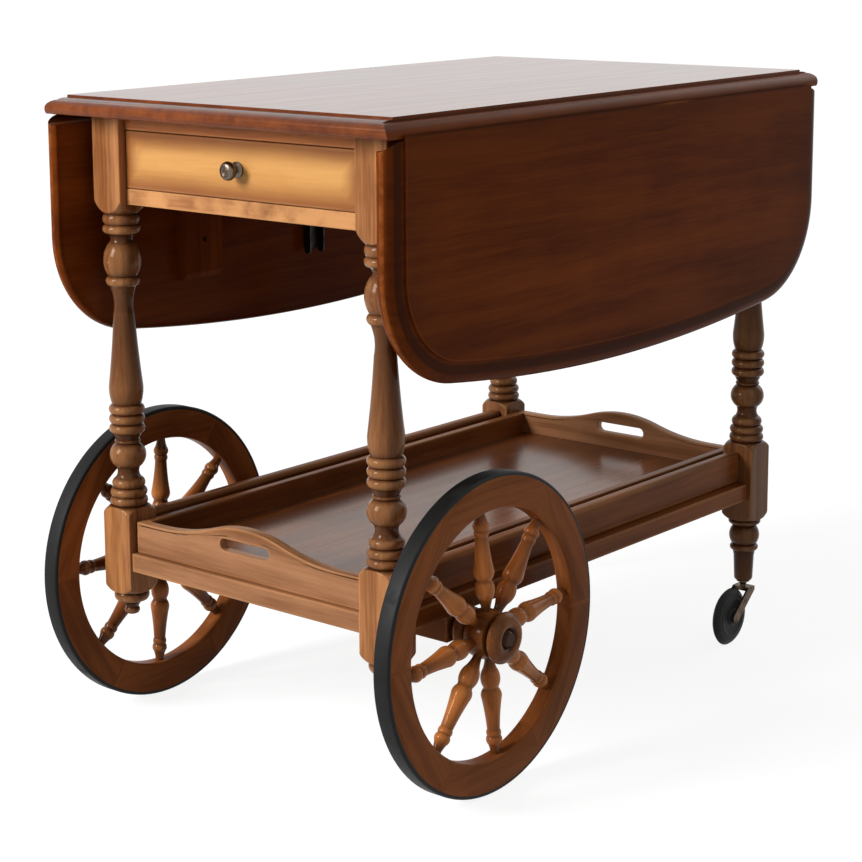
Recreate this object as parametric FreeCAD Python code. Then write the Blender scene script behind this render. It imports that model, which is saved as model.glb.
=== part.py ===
import FreeCAD, Part
import math
import os
from FreeCAD import Vector

# Drop leaf tea trolley. Millimetres, +Z up, the drawer end faces -Y, the axle lies along X.
# Places are worked out from the middle of the top on the floor, and moved at the end so that the
# origin is the middle of the whole trolley's footprint.

# Top board
TOP_WIDTH = 483.0
TOP_LENGTH = 806.0
TABLE_HEIGHT = 712.0
BOARD_THICK = 20.0

# Thumbnail moulding on the ends of the top and the free edges of the leaves
MOULD_INSET = 23.0
MOULD_STEP = 2.5
MOULD_FILLET = 2.0
MOULD_NOSE = 11.6
MOULD_UNDER = 4.0

# Rule joint: a fillet and an ovolo on the top, a cove and a thin lip on the leaf
RULE_FILLET = 4.5
RULE_RADIUS = 12.0
RULE_GAP = 3.0
LIP_GAP = 0.5

# Leaves: width from the hinge pin, round corners, bowed outer edge, and how far they hang round
LEAF_WIDTH = 272.5
LEAF_CORNER = 117.0
LEAF_BOW = 34.0
LEAF_HANG = 90.0

# Table hinges
HINGES_PER_LEAF = 3
HINGE_PITCH = 275.0
HINGE_LENGTH = 60.0
HINGE_PLATE = 2.0
HINGE_TOP_REACH = 17.0
HINGE_LEAF_REACH = 42.0
KNUCKLES = 5
KNUCKLE_RADIUS = 4.0
HINGE_PIN_RADIUS = 1.5
HINGE_CLEAR = 0.5

# Cleats under the leaves
CLEAT_START = 115.0
CLEAT_LENGTH = 92.0
CLEAT_WIDTH = 57.0
CLEAT_THICK = 16.0
CLEAT_BEVEL = 8.0
CLEAT_PITCH = 390.0
CLEAT_HOLE_RADIUS = 3.5
CLEAT_HOLE_DEPTH = 8.0

# Folding stays
STAY_PIVOT = 75.0
STAY_DROP = 9.0
STAY_WIDTH = 26.0
STAY_SHEET = 2.0
STAY_HEIGHT = 10.0
STAY_WEB_START = 14.0
STAY_RIVET_RADIUS = 3.0
STAY_HEAD_RADIUS = 4.5
STAY_HEAD_THICK = 1.4
STAY_PLATE_LENGTH = 30.0
STAY_SIDE_GAP = 0.3
KEEPER_DROP = 81.5
KEEPER_HEIGHT = 24.0
KEEPER_CHEEK = 10.0
KEEPER_GAP = 1.0

# Legs
LEG_SQUARE = 41.8
LEG_INSET_X = 53.0
LEG_INSET_Y = 59.0
POMMEL_UPPER = 26.0
POMMEL_LOWER = 14.0
POMMEL_BELOW_APRON = 12.0
BLOCK_ABOVE_RAIL = 50.0
BLOCK_BELOW_RAIL = 29.0
POMMEL_NECK = 18.5

# Aprons and drawer rails
APRON_DEPTH = 97.5
APRON_THICK = 20.0
APRON_SETBACK = 10.0
UPPER_RAIL = 16.5
LOWER_RAIL = 17.5

# Drawer
DRAWER_GAP = 0.8
DRAWER_LENGTH = 340.0
DRAWER_FRONT = 18.0
DRAWER_WALL = 11.0
DRAWER_SIDE_PLAY = 4.0
DRAWER_TOP_PLAY = 4.0
DRAWER_BOTTOM = 5.0
DRAWER_BOTTOM_LIFT = 6.0
DRAWER_TONGUE = 4.0
DRAWER_BACK_DROP = 5.0
RUNNER_REACH = 14.0
GUIDE_HEIGHT = 32.0
SLIDE_GAP = 0.3

# Lower shelf
RAIL_HEIGHT = 21.0
SIDE_RAIL_SETBACK = 6.5
SIDE_RAIL_WIDTH = 50.0
END_RAIL_SETBACK = 3.0
END_RAIL_THICK = 24.0
FENCE_SETBACK = 17.5
FENCE_THICK = 14.0
FENCE_HEIGHT = 39.0
FENCE_ROUND = 5.0

# Tray
TRAY_SIDE_GAP = 3.0
TRAY_SETBACK = 9.0
TRAY_WALL = 35.0
TRAY_END_THICK = 12.0
TRAY_SIDE_THICK = 10.0
TRAY_FLOOR = 6.0
TRAY_FLOOR_LIFT = 3.0
TRAY_TONGUE = 4.0
CREST_RISE = 20.5
CREST_SPAN = 130.0
CREST_KNEE = 50.0
SLOT_LENGTH = 72.0
SLOT_HEIGHT = 13.0
SLOT_LIFT = 34.0

# Axle and wheels
WHEEL_RADIUS = 170.5
AXLE_SETBACK = 96.0
AXLE_RADIUS = 6.0
AXLE_RUNNING = 0.05
BEAM_HEIGHT = 28.0
BEAM_WIDTH = 36.0
WASHER_THICK = 2.0
WASHER_RADIUS = 13.0
NUT_THICK = 8.0
NUT_RADIUS = 10.5
NUT_GAP = 0.3
HUB_GAP = 0.3
HUB_INBOARD = 36.7
HUB_OUTBOARD = 18.0
HUB_RECESS_RADIUS = 14.0
HUB_RECESS_DEPTH = 12.0
CAP_SPIGOT = 1.5
TYRE_THICK = 4.0
TYRE_ROUND = 2.5
FELLOE_DEPTH = 33.0
FELLOE_WIDTH = 20.0
FELLOE_ROUND = 3.0
SPOKES = 8
SPOKE_PHASE = -5.5
LEFT_WHEEL_TURN = 8.0
SPOKE_TENON = 14.0
SPOKE_TENON_RADIUS = 4.7
SPOKE_ROOT = 14.0

# Casters
CASTER_RADIUS = 36.0
CASTER_WIDTH = 16.0
CASTER_TRAIL = 32.0
CASTER_FOOT = 76.0
CASTER_AXLE_RADIUS = 3.5
CASTER_HUB_RADIUS = 9.0
CASTER_DISH = 2.5
SOCKET_RADIUS = 5.5
SOCKET_DEPTH = 35.0
SOCKET_FLANGE_RADIUS = 8.0
SOCKET_FLANGE = 1.5
STEM_RADIUS = 3.5
STEM_COLLAR_RADIUS = 5.5
STEM_COLLAR = 4.0
FORK_TOP = 68.0
FORK_CROWN = 5.0
FORK_SHEET = 2.5
FORK_SIDE_GAP = 1.0
FORK_FRONT = 5.0
FORK_BACK = 9.0
FORK_EYE = 6.5

# Turned knob of the drawer
KNOB_ROSE_RADIUS = 8.5

# Turnings are listed from the top down as (height, radius at mid height, radius at the end).
# No mid radius makes a straight taper, and the one turning with no height takes what is left.
LEG_TURNINGS = [
    (12.0, 20.5, 18.0),
    (10.0, 20.9, 16.0),
    (10.5, 12.4, 14.5),
    (36.5, 20.9, 16.0),
    (11.0, 18.9, 15.0),
    (31.0, 11.0, 11.8),
    (None, 14.8, 19.0),
    (22.0, 18.8, 16.0),
    (11.0, 20.0, 16.5),
    (11.0, 20.0, 16.5),
    (11.0, 20.0, 16.0),
    (7.0, None, 13.0),
    (4.0, 14.5, 13.0),
    (27.0, 20.3, 13.5),
    (13.0, 12.0, 15.0),
    (10.5, 18.4, 16.5),
    (10.0, 20.5, 18.0),
    (10.0, 20.9, POMMEL_NECK),
]
DROP_TURNINGS = [
    (10.0, 19.8, 17.5),
    (9.0, 9.5, 7.0),
    (8.0, 8.6, 3.3),
]
FOOT_TURNINGS = [
    (6.0, 19.8, 17.0),
    (3.0, None, 14.5),
    (23.0, 18.6, 14.5),
    (8.0, 17.5, 14.0),
    (6.5, None, 12.6),
    (None, None, 11.4),
    (4.0, 10.8, 8.5),
]
SPOKE_TURNINGS = [
    (11.0, 5.4, 7.0),
    (9.0, 8.6, 7.0),
    (7.0, 7.9, 6.8),
    (None, 8.3, 11.0),
    (8.0, 10.8, 9.0),
    (4.0, 8.2, 8.6),
    (19.0, 10.5, 7.5),
    (12.0, 5.6, SPOKE_TENON_RADIUS),
]
HUB_BELLY = 26.5
HUB_TURNINGS = [
    (5.0, 19.0, 22.0),
    (1.0, None, 25.0),
    (24.0, HUB_BELLY, 25.0),
    (1.0, None, 20.0),
    (4.0, 18.5, 20.0),
    (14.0, 24.0, 19.0),
    (None, None, 16.0),
]
HUB_END_RADIUS = 22.0
CAP_TURNINGS = [
    (4.0, 8.6, 10.0),
    (-3.0, 11.4, 14.0),
    (5.0, 24.0, 26.0),
    (6.0, 27.4, 25.0),
]
CAP_BOSS_RADIUS = 7.0
KNOB_TURNINGS = [
    (9.0, 10.0, 8.0),
    (5.0, 4.4, 4.4),
    (3.0, 6.4, KNOB_ROSE_RADIUS),
    (2.0, None, KNOB_ROSE_RADIUS),
]
KNOB_TIP_RADIUS = 6.0

# Places that follow from the sizes
UNDERSIDE = TABLE_HEIGHT - BOARD_THICK
PIN_X = TOP_WIDTH / 2 - RULE_RADIUS
PIN_Z = TABLE_HEIGHT - RULE_FILLET - RULE_RADIUS
LEG_X = TOP_WIDTH / 2 - LEG_INSET_X
LEG_Y = TOP_LENGTH / 2 - LEG_INSET_Y
LEG_HALF = LEG_SQUARE / 2
BAY_X = LEG_X - LEG_HALF
BAY_Y = LEG_Y - LEG_HALF
FLANK_X = LEG_X + LEG_HALF
FRONT_Y = LEG_Y + LEG_HALF
APRON_BOTTOM = UNDERSIDE - APRON_DEPTH
APRON_FACE_X = FLANK_X - APRON_SETBACK
APRON_INNER_X = APRON_FACE_X - APRON_THICK
APRON_FACE_Y = FRONT_Y - APRON_SETBACK
APRON_INNER_Y = APRON_FACE_Y - APRON_THICK
DRAWER_FLOOR_Z = APRON_BOTTOM + LOWER_RAIL
DRAWER_CEILING_Z = UNDERSIDE - UPPER_RAIL
RAIL_BOTTOM = WHEEL_RADIUS + BEAM_HEIGHT / 2
RAIL_TOP = RAIL_BOTTOM + RAIL_HEIGHT
SIDE_RAIL_X = FLANK_X - SIDE_RAIL_SETBACK
AXLE_Y = AXLE_SETBACK - LEG_Y
HUB_START = SIDE_RAIL_X + WASHER_THICK + HUB_GAP
WHEEL_X = HUB_START + HUB_INBOARD
FELLOE_RADIUS = WHEEL_RADIUS - TYRE_THICK
FELLOE_INNER = FELLOE_RADIUS - FELLOE_DEPTH
TRAY_BOTTOM = RAIL_TOP + SLIDE_GAP
TRAY_X = BAY_X - TRAY_SIDE_GAP
TRAY_Y = FRONT_Y - TRAY_SETBACK
FRONT_REACH = min(AXLE_Y - WHEEL_RADIUS, -TOP_LENGTH / 2)
MIDDLE_Y = (TOP_LENGTH / 2 + FRONT_REACH) / 2

CUT_MARGIN = 1.0
QUARTER = 1.0 - math.sqrt(0.5)
UP = Vector(0, 0, 1)
ALONG_X = Vector(1, 0, 0)
ALONG_Y = Vector(0, 1, 0)
ORIGIN = Vector(0, 0, 0)


def block(x, y, z):
    """Box from (low, high) along each axis."""
    return Part.makeBox(x[1] - x[0], y[1] - y[0], z[1] - z[0], Vector(x[0], y[0], z[0]))


def rod(start, direction, radius, length):
    """Round bar from a point along a direction."""
    return Part.makeCylinder(radius, length, start, direction)


def outline(start, steps):
    """Closed wire: a step is a point for a line, or (through, end) for an arc."""
    edges = []
    here = start
    for step in steps:
        if isinstance(step, tuple):
            edges.append(Part.Arc(here, step[0], step[1]).toShape())
            here = step[1]
        else:
            edges.append(Part.LineSegment(here, step).toShape())
            here = step
    if not here.isEqual(start, 1e-6):
        edges.append(Part.LineSegment(here, start).toShape())
    return Part.Wire(edges)


def prism(wire, along):
    """Solid from a flat closed wire."""
    return Part.Face(wire).extrude(along)


def filled(turnings, total):
    """The turnings with the open height set so that they add up to the total."""
    rest = total - sum(height for height, middle, end in turnings if height is not None)
    return [(rest if height is None else height, middle, end) for height, middle, end in turnings]


def turned(top, radius, turnings):
    """Solid turned about Z, from the top down."""
    steps = [Vector(radius, 0, top)]
    z = top
    for height, middle, end in turnings:
        foot = Vector(end, 0, z - height)
        steps.append(foot if middle is None else (Vector(middle, 0, z - height / 2), foot))
        z -= height
    steps.append(Vector(0, 0, z))
    return Part.Face(outline(Vector(0, 0, top), steps)).revolve(ORIGIN, UP, 360)


def mirrored(shape):
    """The left hand twin of a right hand piece."""
    return shape.mirror(ORIGIN, ALONG_X)


def hung(shape):
    """A leaf piece swung from level down to where it hangs."""
    return shape.rotated(Vector(PIN_X, 0, PIN_Z), ALONG_Y, LEAF_HANG)


def moulding_waste(x, edge, inward):
    """Wire round the wood that the thumbnail moulding takes off an edge, in a YZ plane."""

    def at(inset, drop):
        return Vector(x, edge + inward * inset, TABLE_HEIGHT - drop)

    ovolo = MOULD_INSET - MOULD_FILLET
    ovolo_drop = MOULD_NOSE - MOULD_STEP
    under_drop = BOARD_THICK - MOULD_NOSE
    return outline(at(MOULD_INSET, -CUT_MARGIN), [
        at(MOULD_INSET, MOULD_STEP),
        at(ovolo, MOULD_STEP),
        (at(ovolo * QUARTER, MOULD_STEP + ovolo_drop * QUARTER), at(0, MOULD_NOSE)),
        (at(MOULD_UNDER * QUARTER, BOARD_THICK - under_drop * QUARTER), at(MOULD_UNDER, BOARD_THICK)),
        at(MOULD_UNDER, BOARD_THICK + CUT_MARGIN),
        at(-CUT_MARGIN, BOARD_THICK + CUT_MARGIN),
        at(-CUT_MARGIN, -CUT_MARGIN),
    ])


def hinge_places():
    """Y of each hinge's middle."""
    middle = (HINGES_PER_LEAF - 1) / 2
    return [(index - middle) * HINGE_PITCH for index in range(HINGES_PER_LEAF)]


def hinge_reach():
    """From the pin to where a hinge plate starts, clear of the other plate."""
    return PIN_Z - UNDERSIDE + HINGE_PLATE + HINGE_CLEAR


def top_board():
    """Top with an ovolo on both long sides, a moulding on both ends, and hinge knuckle pockets."""
    half = TOP_LENGTH / 2
    side = TOP_WIDTH / 2
    shoulder = PIN_Z + RULE_RADIUS
    swell = RULE_RADIUS * math.sqrt(0.5)
    section = outline(Vector(-side, -half, UNDERSIDE), [
        Vector(side, -half, UNDERSIDE),
        Vector(side, -half, PIN_Z),
        (Vector(PIN_X + swell, -half, PIN_Z + swell), Vector(PIN_X, -half, shoulder)),
        Vector(PIN_X, -half, TABLE_HEIGHT),
        Vector(-PIN_X, -half, TABLE_HEIGHT),
        Vector(-PIN_X, -half, shoulder),
        (Vector(-PIN_X - swell, -half, PIN_Z + swell), Vector(-side, -half, PIN_Z)),
    ])
    board = prism(section, Vector(0, TOP_LENGTH, 0))
    across = Vector(TOP_WIDTH + 2 * CUT_MARGIN, 0, 0)
    for edge, inward in ((-half, 1), (half, -1)):
        board = board.cut(prism(moulding_waste(-side - CUT_MARGIN, edge, inward), across))
    room = KNUCKLE_RADIUS + HINGE_CLEAR
    length = HINGE_LENGTH + 2 * HINGE_CLEAR
    for y in hinge_places():
        start = Vector(PIN_X, y - length / 2, PIN_Z)
        slot = block((PIN_X - hinge_reach() - HINGE_CLEAR, PIN_X + room),
                     (start.y, start.y + length), (UNDERSIDE - CUT_MARGIN, PIN_Z + HINGE_CLEAR))
        pocket = slot.fuse(rod(start, ALONG_Y, room, length))
        board = board.cut(pocket).cut(mirrored(pocket))
    return board.removeSplitter()


def leaf_path(start_x):
    """Open wire along a level leaf's three free edges, from the front hinge corner to the rear."""
    half = TOP_LENGTH / 2
    tip = PIN_X + LEAF_WIDTH
    bow = (half * half + LEAF_BOW * LEAF_BOW) / (2 * LEAF_BOW)
    bow_x = tip - bow
    corner_y = half - LEAF_CORNER
    corner_x = bow_x + math.sqrt((bow - LEAF_CORNER) ** 2 - corner_y ** 2)
    lean = math.atan2(corner_y, corner_x - bow_x)
    turn = (lean + math.pi / 2) / 2

    def at(x, y):
        return Vector(x, y, TABLE_HEIGHT)

    def on_corner(angle, side):
        reach_y = corner_y + LEAF_CORNER * math.sin(angle)
        return at(corner_x + LEAF_CORNER * math.cos(angle), side * reach_y)

    return Part.Wire([
        Part.LineSegment(at(start_x, -half), at(corner_x, -half)).toShape(),
        Part.Arc(at(corner_x, -half), on_corner(turn, -1), on_corner(lean, -1)).toShape(),
        Part.Arc(on_corner(lean, -1), at(tip, 0), on_corner(lean, 1)).toShape(),
        Part.Arc(on_corner(lean, 1), on_corner(turn, 1), at(corner_x, half)).toShape(),
        Part.LineSegment(at(corner_x, half), at(start_x, half)).toShape(),
    ])


def leaf():
    """Right leaf, made level: a thin lip and a cove at the hinge edge, a moulding on the others."""
    half = TOP_LENGTH / 2
    lip = PIN_X + LIP_GAP
    free_edges = leaf_path(lip)
    hinge_edge = Part.LineSegment(Vector(lip, half, TABLE_HEIGHT), Vector(lip, -half, TABLE_HEIGHT))
    board = prism(Part.Wire(free_edges.Edges + [hinge_edge.toShape()]), Vector(0, 0, -BOARD_THICK))
    start = lip - CUT_MARGIN
    waste = leaf_path(start).makePipeShell([moulding_waste(start, -half, 1)], True, False)
    cove = rod(Vector(PIN_X, -half - CUT_MARGIN, PIN_Z), ALONG_Y, RULE_RADIUS + RULE_GAP,
               TOP_LENGTH + 2 * CUT_MARGIN)
    return board.cut(cove).cut(waste)


def knuckle_bounds(y):
    """(low, high) along Y of each knuckle of the hinge at y."""
    pitch = HINGE_LENGTH / KNUCKLES
    start = y - HINGE_LENGTH / 2
    return [(start + index * pitch, start + (index + 1) * pitch) for index in range(KNUCKLES)]


def hinge_plate(y, reach, outward, first, bore):
    """One plate with its share of the knuckles: outward is 1 under the leaf and -1 under the top."""
    near = PIN_X + outward * hinge_reach()
    far = near + outward * reach
    low = UNDERSIDE - HINGE_PLATE
    plate = block(sorted((near, far)), (y - HINGE_LENGTH / 2, y + HINGE_LENGTH / 2), (low, UNDERSIDE))
    for span in knuckle_bounds(y)[first::2]:
        gap = HINGE_CLEAR / 2
        span = (span[0] + gap, span[1] - gap)
        strap = block(sorted((PIN_X, near)), span, (low, UNDERSIDE))
        curl = block(sorted((PIN_X, PIN_X + outward * KNUCKLE_RADIUS)), span, (low, PIN_Z))
        barrel = rod(Vector(PIN_X, span[0], PIN_Z), ALONG_Y, KNUCKLE_RADIUS, span[1] - span[0])
        plate = plate.fuse([strap, curl, barrel])
    hole = rod(Vector(PIN_X, y - HINGE_LENGTH, PIN_Z), ALONG_Y, bore, 2 * HINGE_LENGTH)
    return plate.cut(hole).removeSplitter()


def hinge_pin(y):
    """Pin through all the knuckles of the hinge at y."""
    return rod(Vector(PIN_X, y - HINGE_LENGTH / 2, PIN_Z), ALONG_Y, HINGE_PIN_RADIUS, HINGE_LENGTH)


def cleat(y):
    """Wooden cleat under the level right leaf, bevelled at its outer end, with a screw's hole."""
    start = PIN_X + CLEAT_START
    end = start + CLEAT_LENGTH
    low = UNDERSIDE - CLEAT_THICK
    front = y - CLEAT_WIDTH / 2
    side = outline(Vector(start, front, UNDERSIDE), [
        Vector(start, front, low),
        Vector(end - CLEAT_BEVEL, front, low),
        Vector(end, front, low + CLEAT_BEVEL),
        Vector(end, front, UNDERSIDE),
    ])
    hole = rod(Vector((start + end) / 2, y, low), UP, CLEAT_HOLE_RADIUS, CLEAT_HOLE_DEPTH)
    return prism(side, Vector(0, CLEAT_WIDTH, 0)).cut(hole)


def stay_pivot():
    """Middle of the stay's rivet under the level right leaf."""
    return Vector(PIN_X + STAY_PIVOT, 0, UNDERSIDE - STAY_DROP)


def stay_length():
    """From the rivet to the middle of the arm's round end, which meets the keeper when raised."""
    end_x = APRON_FACE_X + STAY_SHEET + KEEPER_GAP + STAY_HEIGHT / 2
    return math.hypot(stay_pivot().x - end_x, stay_pivot().z - UNDERSIDE + KEEPER_DROP)


def stay_plate():
    """Plate under the level right leaf with two ears and the rivet that the arm turns on."""
    pivot = stay_pivot()
    flange = STAY_WIDTH / 2 - STAY_SHEET
    ear_out = flange - STAY_SIDE_GAP
    half = STAY_PLATE_LENGTH / 2
    plate = block((pivot.x - half, pivot.x + half), (-ear_out, ear_out),
                  (UNDERSIDE - STAY_SHEET, UNDERSIDE))
    ear = block((pivot.x - STAY_HEAD_RADIUS, pivot.x + STAY_HEAD_RADIUS),
                (ear_out - STAY_SHEET, ear_out), (pivot.z, UNDERSIDE))
    ear_middle = Vector(pivot.x, ear_out - STAY_SHEET, pivot.z)
    ear = ear.fuse(rod(ear_middle, ALONG_Y, STAY_HEAD_RADIUS, STAY_SHEET))
    twin = ear.translated(Vector(0, STAY_SHEET - 2 * ear_out, 0))
    reach = STAY_WIDTH / 2 + STAY_SIDE_GAP
    rivet = rod(Vector(pivot.x, -reach, pivot.z), ALONG_Y, STAY_RIVET_RADIUS, 2 * reach)
    head = rod(Vector(pivot.x, reach, pivot.z), ALONG_Y, STAY_HEAD_RADIUS, STAY_HEAD_THICK)
    other = head.translated(Vector(0, -2 * reach - STAY_HEAD_THICK, 0))
    return plate.fuse([ear, twin, rivet, head, other]).removeSplitter()


def stay_arm():
    """Channel arm with round ends, folded along the level right leaf, open on the far side."""
    pivot = stay_pivot()
    half = STAY_HEIGHT / 2
    length = stay_length()
    side = STAY_WIDTH / 2

    def at(x, z):
        return Vector(pivot.x + x, -side, pivot.z + z)

    cheek = outline(at(0, half), [
        (at(-half, 0), at(0, -half)),
        at(length, -half),
        (at(length + half, 0), at(length, half)),
    ])
    flange = prism(cheek, Vector(0, STAY_SHEET, 0))
    twin = flange.translated(Vector(0, STAY_WIDTH - STAY_SHEET, 0))
    web = block((pivot.x + STAY_WEB_START, pivot.x + length), (-side, side),
                (pivot.z + half - STAY_SHEET, pivot.z + half))
    hole = rod(Vector(pivot.x, -STAY_WIDTH, pivot.z), ALONG_Y, STAY_RIVET_RADIUS + AXLE_RUNNING,
               2 * STAY_WIDTH)
    return flange.fuse([twin, web]).cut(hole).removeSplitter()


def stay_keeper():
    """Back plate on the right apron with a cheek each side of the arm's rivet heads and raised end."""
    face = APRON_FACE_X
    middle = UNDERSIDE - KEEPER_DROP
    height = (middle - KEEPER_HEIGHT / 2, middle + KEEPER_HEIGHT / 2)
    inner = STAY_WIDTH / 2 + STAY_SIDE_GAP + STAY_HEAD_THICK + KEEPER_GAP
    outer = inner + STAY_SHEET
    plate = block((face, face + STAY_SHEET), (-outer, outer), height)
    cheek = block((face, face + STAY_SHEET + KEEPER_CHEEK), (inner, outer), height)
    return plate.fuse([cheek, cheek.translated(Vector(0, -inner - outer, 0))]).removeSplitter()


def leg(below, foot):
    """Leg turned from a square blank: two square blocks, the turnings between them, and its end."""
    block_end = APRON_BOTTOM + POMMEL_UPPER - POMMEL_BELOW_APRON
    pommel_end = APRON_BOTTOM - POMMEL_BELOW_APRON
    lower_top = RAIL_TOP + BLOCK_ABOVE_RAIL
    lower_bottom = RAIL_BOTTOM - BLOCK_BELOW_RAIL
    corner = LEG_SQUARE * math.sqrt(0.5) + CUT_MARGIN
    shoulder = (corner + POMMEL_NECK) / 2 + (corner - POMMEL_NECK) * QUARTER
    turnings = [(UNDERSIDE - block_end, None, corner), (POMMEL_UPPER, shoulder, POMMEL_NECK)]
    turnings += filled(LEG_TURNINGS, pommel_end - lower_top)
    turnings += [
        (POMMEL_LOWER, shoulder, corner),
        (lower_top - lower_bottom - 2 * POMMEL_LOWER, None, corner),
        (POMMEL_LOWER, shoulder, POMMEL_NECK),
    ]
    turnings += filled(below, lower_bottom - foot)
    blank = block((-LEG_HALF, LEG_HALF), (-LEG_HALF, LEG_HALF), (0, UNDERSIDE))
    return blank.common(turned(UNDERSIDE, corner, turnings))


def drop_foot():
    """Height of the turned drop's tip under a front leg."""
    return RAIL_BOTTOM - BLOCK_BELOW_RAIL - sum(height for height, middle, end in DROP_TURNINGS)


def front_leg():
    """Right front leg."""
    return leg(DROP_TURNINGS, drop_foot()).translated(Vector(LEG_X, -LEG_Y, 0))


def rear_leg():
    """Right rear leg, bored for its caster's socket."""
    bore = rod(Vector(0, 0, CASTER_FOOT), UP, SOCKET_RADIUS, SOCKET_DEPTH)
    return leg(FOOT_TURNINGS, CASTER_FOOT).cut(bore).translated(Vector(LEG_X, LEG_Y, 0))


def drawer_runner():
    """Right drawer runner with its side guide, and the kicker above the drawer's side."""
    inner = BAY_X - DRAWER_SIDE_PLAY - RUNNER_REACH
    guide = BAY_X - DRAWER_SIDE_PLAY + SLIDE_GAP
    length = (-BAY_Y, BAY_Y)
    runner = block((inner, APRON_INNER_X), length, (APRON_BOTTOM, DRAWER_FLOOR_Z))
    upright = block((guide, APRON_INNER_X), length, (DRAWER_FLOOR_Z, DRAWER_FLOOR_Z + GUIDE_HEIGHT))
    runner = runner.fuse(upright)
    kicker = block((inner, APRON_INNER_X), length, (DRAWER_CEILING_Z, UNDERSIDE))
    return Part.makeCompound([runner.removeSplitter(), kicker])


def drawer():
    """Drawer pieces by name."""
    outer = BAY_X - DRAWER_SIDE_PLAY
    inner = outer - DRAWER_WALL
    front = (-APRON_FACE_Y, DRAWER_FRONT - APRON_FACE_Y)
    end = DRAWER_LENGTH - APRON_FACE_Y
    low = DRAWER_FLOOR_Z + SLIDE_GAP
    high = DRAWER_CEILING_Z - DRAWER_TOP_PLAY
    floor = low + DRAWER_BOTTOM_LIFT
    tongue = inner + DRAWER_TONGUE
    bottom = block((-tongue, tongue), (front[1] - DRAWER_TONGUE, end), (floor, floor + DRAWER_BOTTOM))
    face = block((DRAWER_GAP - BAY_X, BAY_X - DRAWER_GAP), front,
                 (DRAWER_FLOOR_Z + DRAWER_GAP, DRAWER_CEILING_Z - DRAWER_GAP))
    side = block((inner, outer), (front[1], end), (low, high)).cut(bottom)
    back = block((-inner, inner), (end - DRAWER_WALL, end),
                 (floor + DRAWER_BOTTOM, high - DRAWER_BACK_DROP))
    return {
        "drawer_front": face.cut(bottom),
        "drawer_side_right": side,
        "drawer_side_left": mirrored(side),
        "drawer_back": back,
        "drawer_bottom": bottom,
        "drawer_knob": drawer_knob(front[0], (DRAWER_FLOOR_Z + DRAWER_CEILING_Z) / 2),
    }


def drawer_knob(face, height):
    """Turned knob standing out of the drawer's front."""
    length = sum(turning[0] for turning in KNOB_TURNINGS)
    knob = turned(length, KNOB_TIP_RADIUS, KNOB_TURNINGS).rotated(ORIGIN, ALONG_X, 90)
    return knob.translated(Vector(0, face, height))


def shelf_fence():
    """Right fence board on the side rail, with a rounded top."""
    outer = FLANK_X - FENCE_SETBACK
    board = block((outer - FENCE_THICK, outer), (-BAY_Y, BAY_Y), (RAIL_TOP, RAIL_TOP + FENCE_HEIGHT))
    top = [edge for edge in board.Edges
           if min(vertex.Z for vertex in edge.Vertexes) > RAIL_TOP and edge.Length > FENCE_THICK]
    return board.makeFillet(FENCE_ROUND, top)


def tray_end(front):
    """Tray end board from its low face along +Y: an ogee crest with a hand slot under it."""
    knee_turn = 2 * math.atan(CREST_RISE / CREST_SPAN)
    crown = CREST_KNEE / math.sin(knee_turn)
    sweep = (CREST_SPAN - CREST_KNEE) / math.sin(knee_turn)
    wall = TRAY_BOTTOM + TRAY_WALL
    peak = wall + CREST_RISE
    half_turn = knee_turn / 2
    knee_z = peak - crown * (1 - math.cos(knee_turn))
    sweep_x = CREST_SPAN - sweep * math.sin(half_turn)
    sweep_z = wall + sweep * (1 - math.cos(half_turn))

    def at(x, z):
        return Vector(x, front, z)

    board = prism(outline(at(-TRAY_X, TRAY_BOTTOM), [
        at(TRAY_X, TRAY_BOTTOM),
        at(TRAY_X, wall),
        at(CREST_SPAN, wall),
        (at(sweep_x, sweep_z), at(CREST_KNEE, knee_z)),
        (at(0, peak), at(-CREST_KNEE, knee_z)),
        (at(-sweep_x, sweep_z), at(-CREST_SPAN, wall)),
        at(-TRAY_X, wall),
    ]), Vector(0, TRAY_END_THICK, 0))
    radius = SLOT_HEIGHT / 2
    reach = SLOT_LENGTH / 2 - radius
    middle = TRAY_BOTTOM + SLOT_LIFT
    slot = outline(at(-reach, middle - radius), [
        at(reach, middle - radius),
        (at(reach + radius, middle), at(reach, middle + radius)),
        at(-reach, middle + radius),
        (at(-reach - radius, middle), at(-reach, middle - radius)),
    ])
    return board.cut(prism(slot, Vector(0, TRAY_END_THICK, 0)))


def tray():
    """Tray pieces by name."""
    inner_y = TRAY_Y - TRAY_END_THICK
    inner_x = TRAY_X - TRAY_SIDE_THICK
    tongue_x = inner_x + TRAY_TONGUE
    tongue_y = inner_y + TRAY_TONGUE
    low = TRAY_BOTTOM + TRAY_FLOOR_LIFT
    floor = block((-tongue_x, tongue_x), (-tongue_y, tongue_y), (low, low + TRAY_FLOOR))
    side = block((inner_x, TRAY_X), (-inner_y, inner_y), (TRAY_BOTTOM, TRAY_BOTTOM + TRAY_WALL))
    side = side.cut(floor)
    return {
        "tray_floor": floor,
        "tray_end_front": tray_end(-TRAY_Y).cut(floor),
        "tray_end_rear": tray_end(inner_y).cut(floor),
        "tray_side_right": side,
        "tray_side_left": mirrored(side),
    }


def on_axle(shape):
    """A wheel piece, made about Z with its outer face up, turned to lie about X."""
    return shape.rotated(ORIGIN, ALONG_Y, 90)


def spoke_ring(blank):
    """Copies of a piece that points up from the wheel's middle, one at each spoke."""
    pitch = 360.0 / SPOKES
    return [blank.rotated(ORIGIN, ALONG_X, -(SPOKE_PHASE + index * pitch)) for index in range(SPOKES)]


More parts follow.
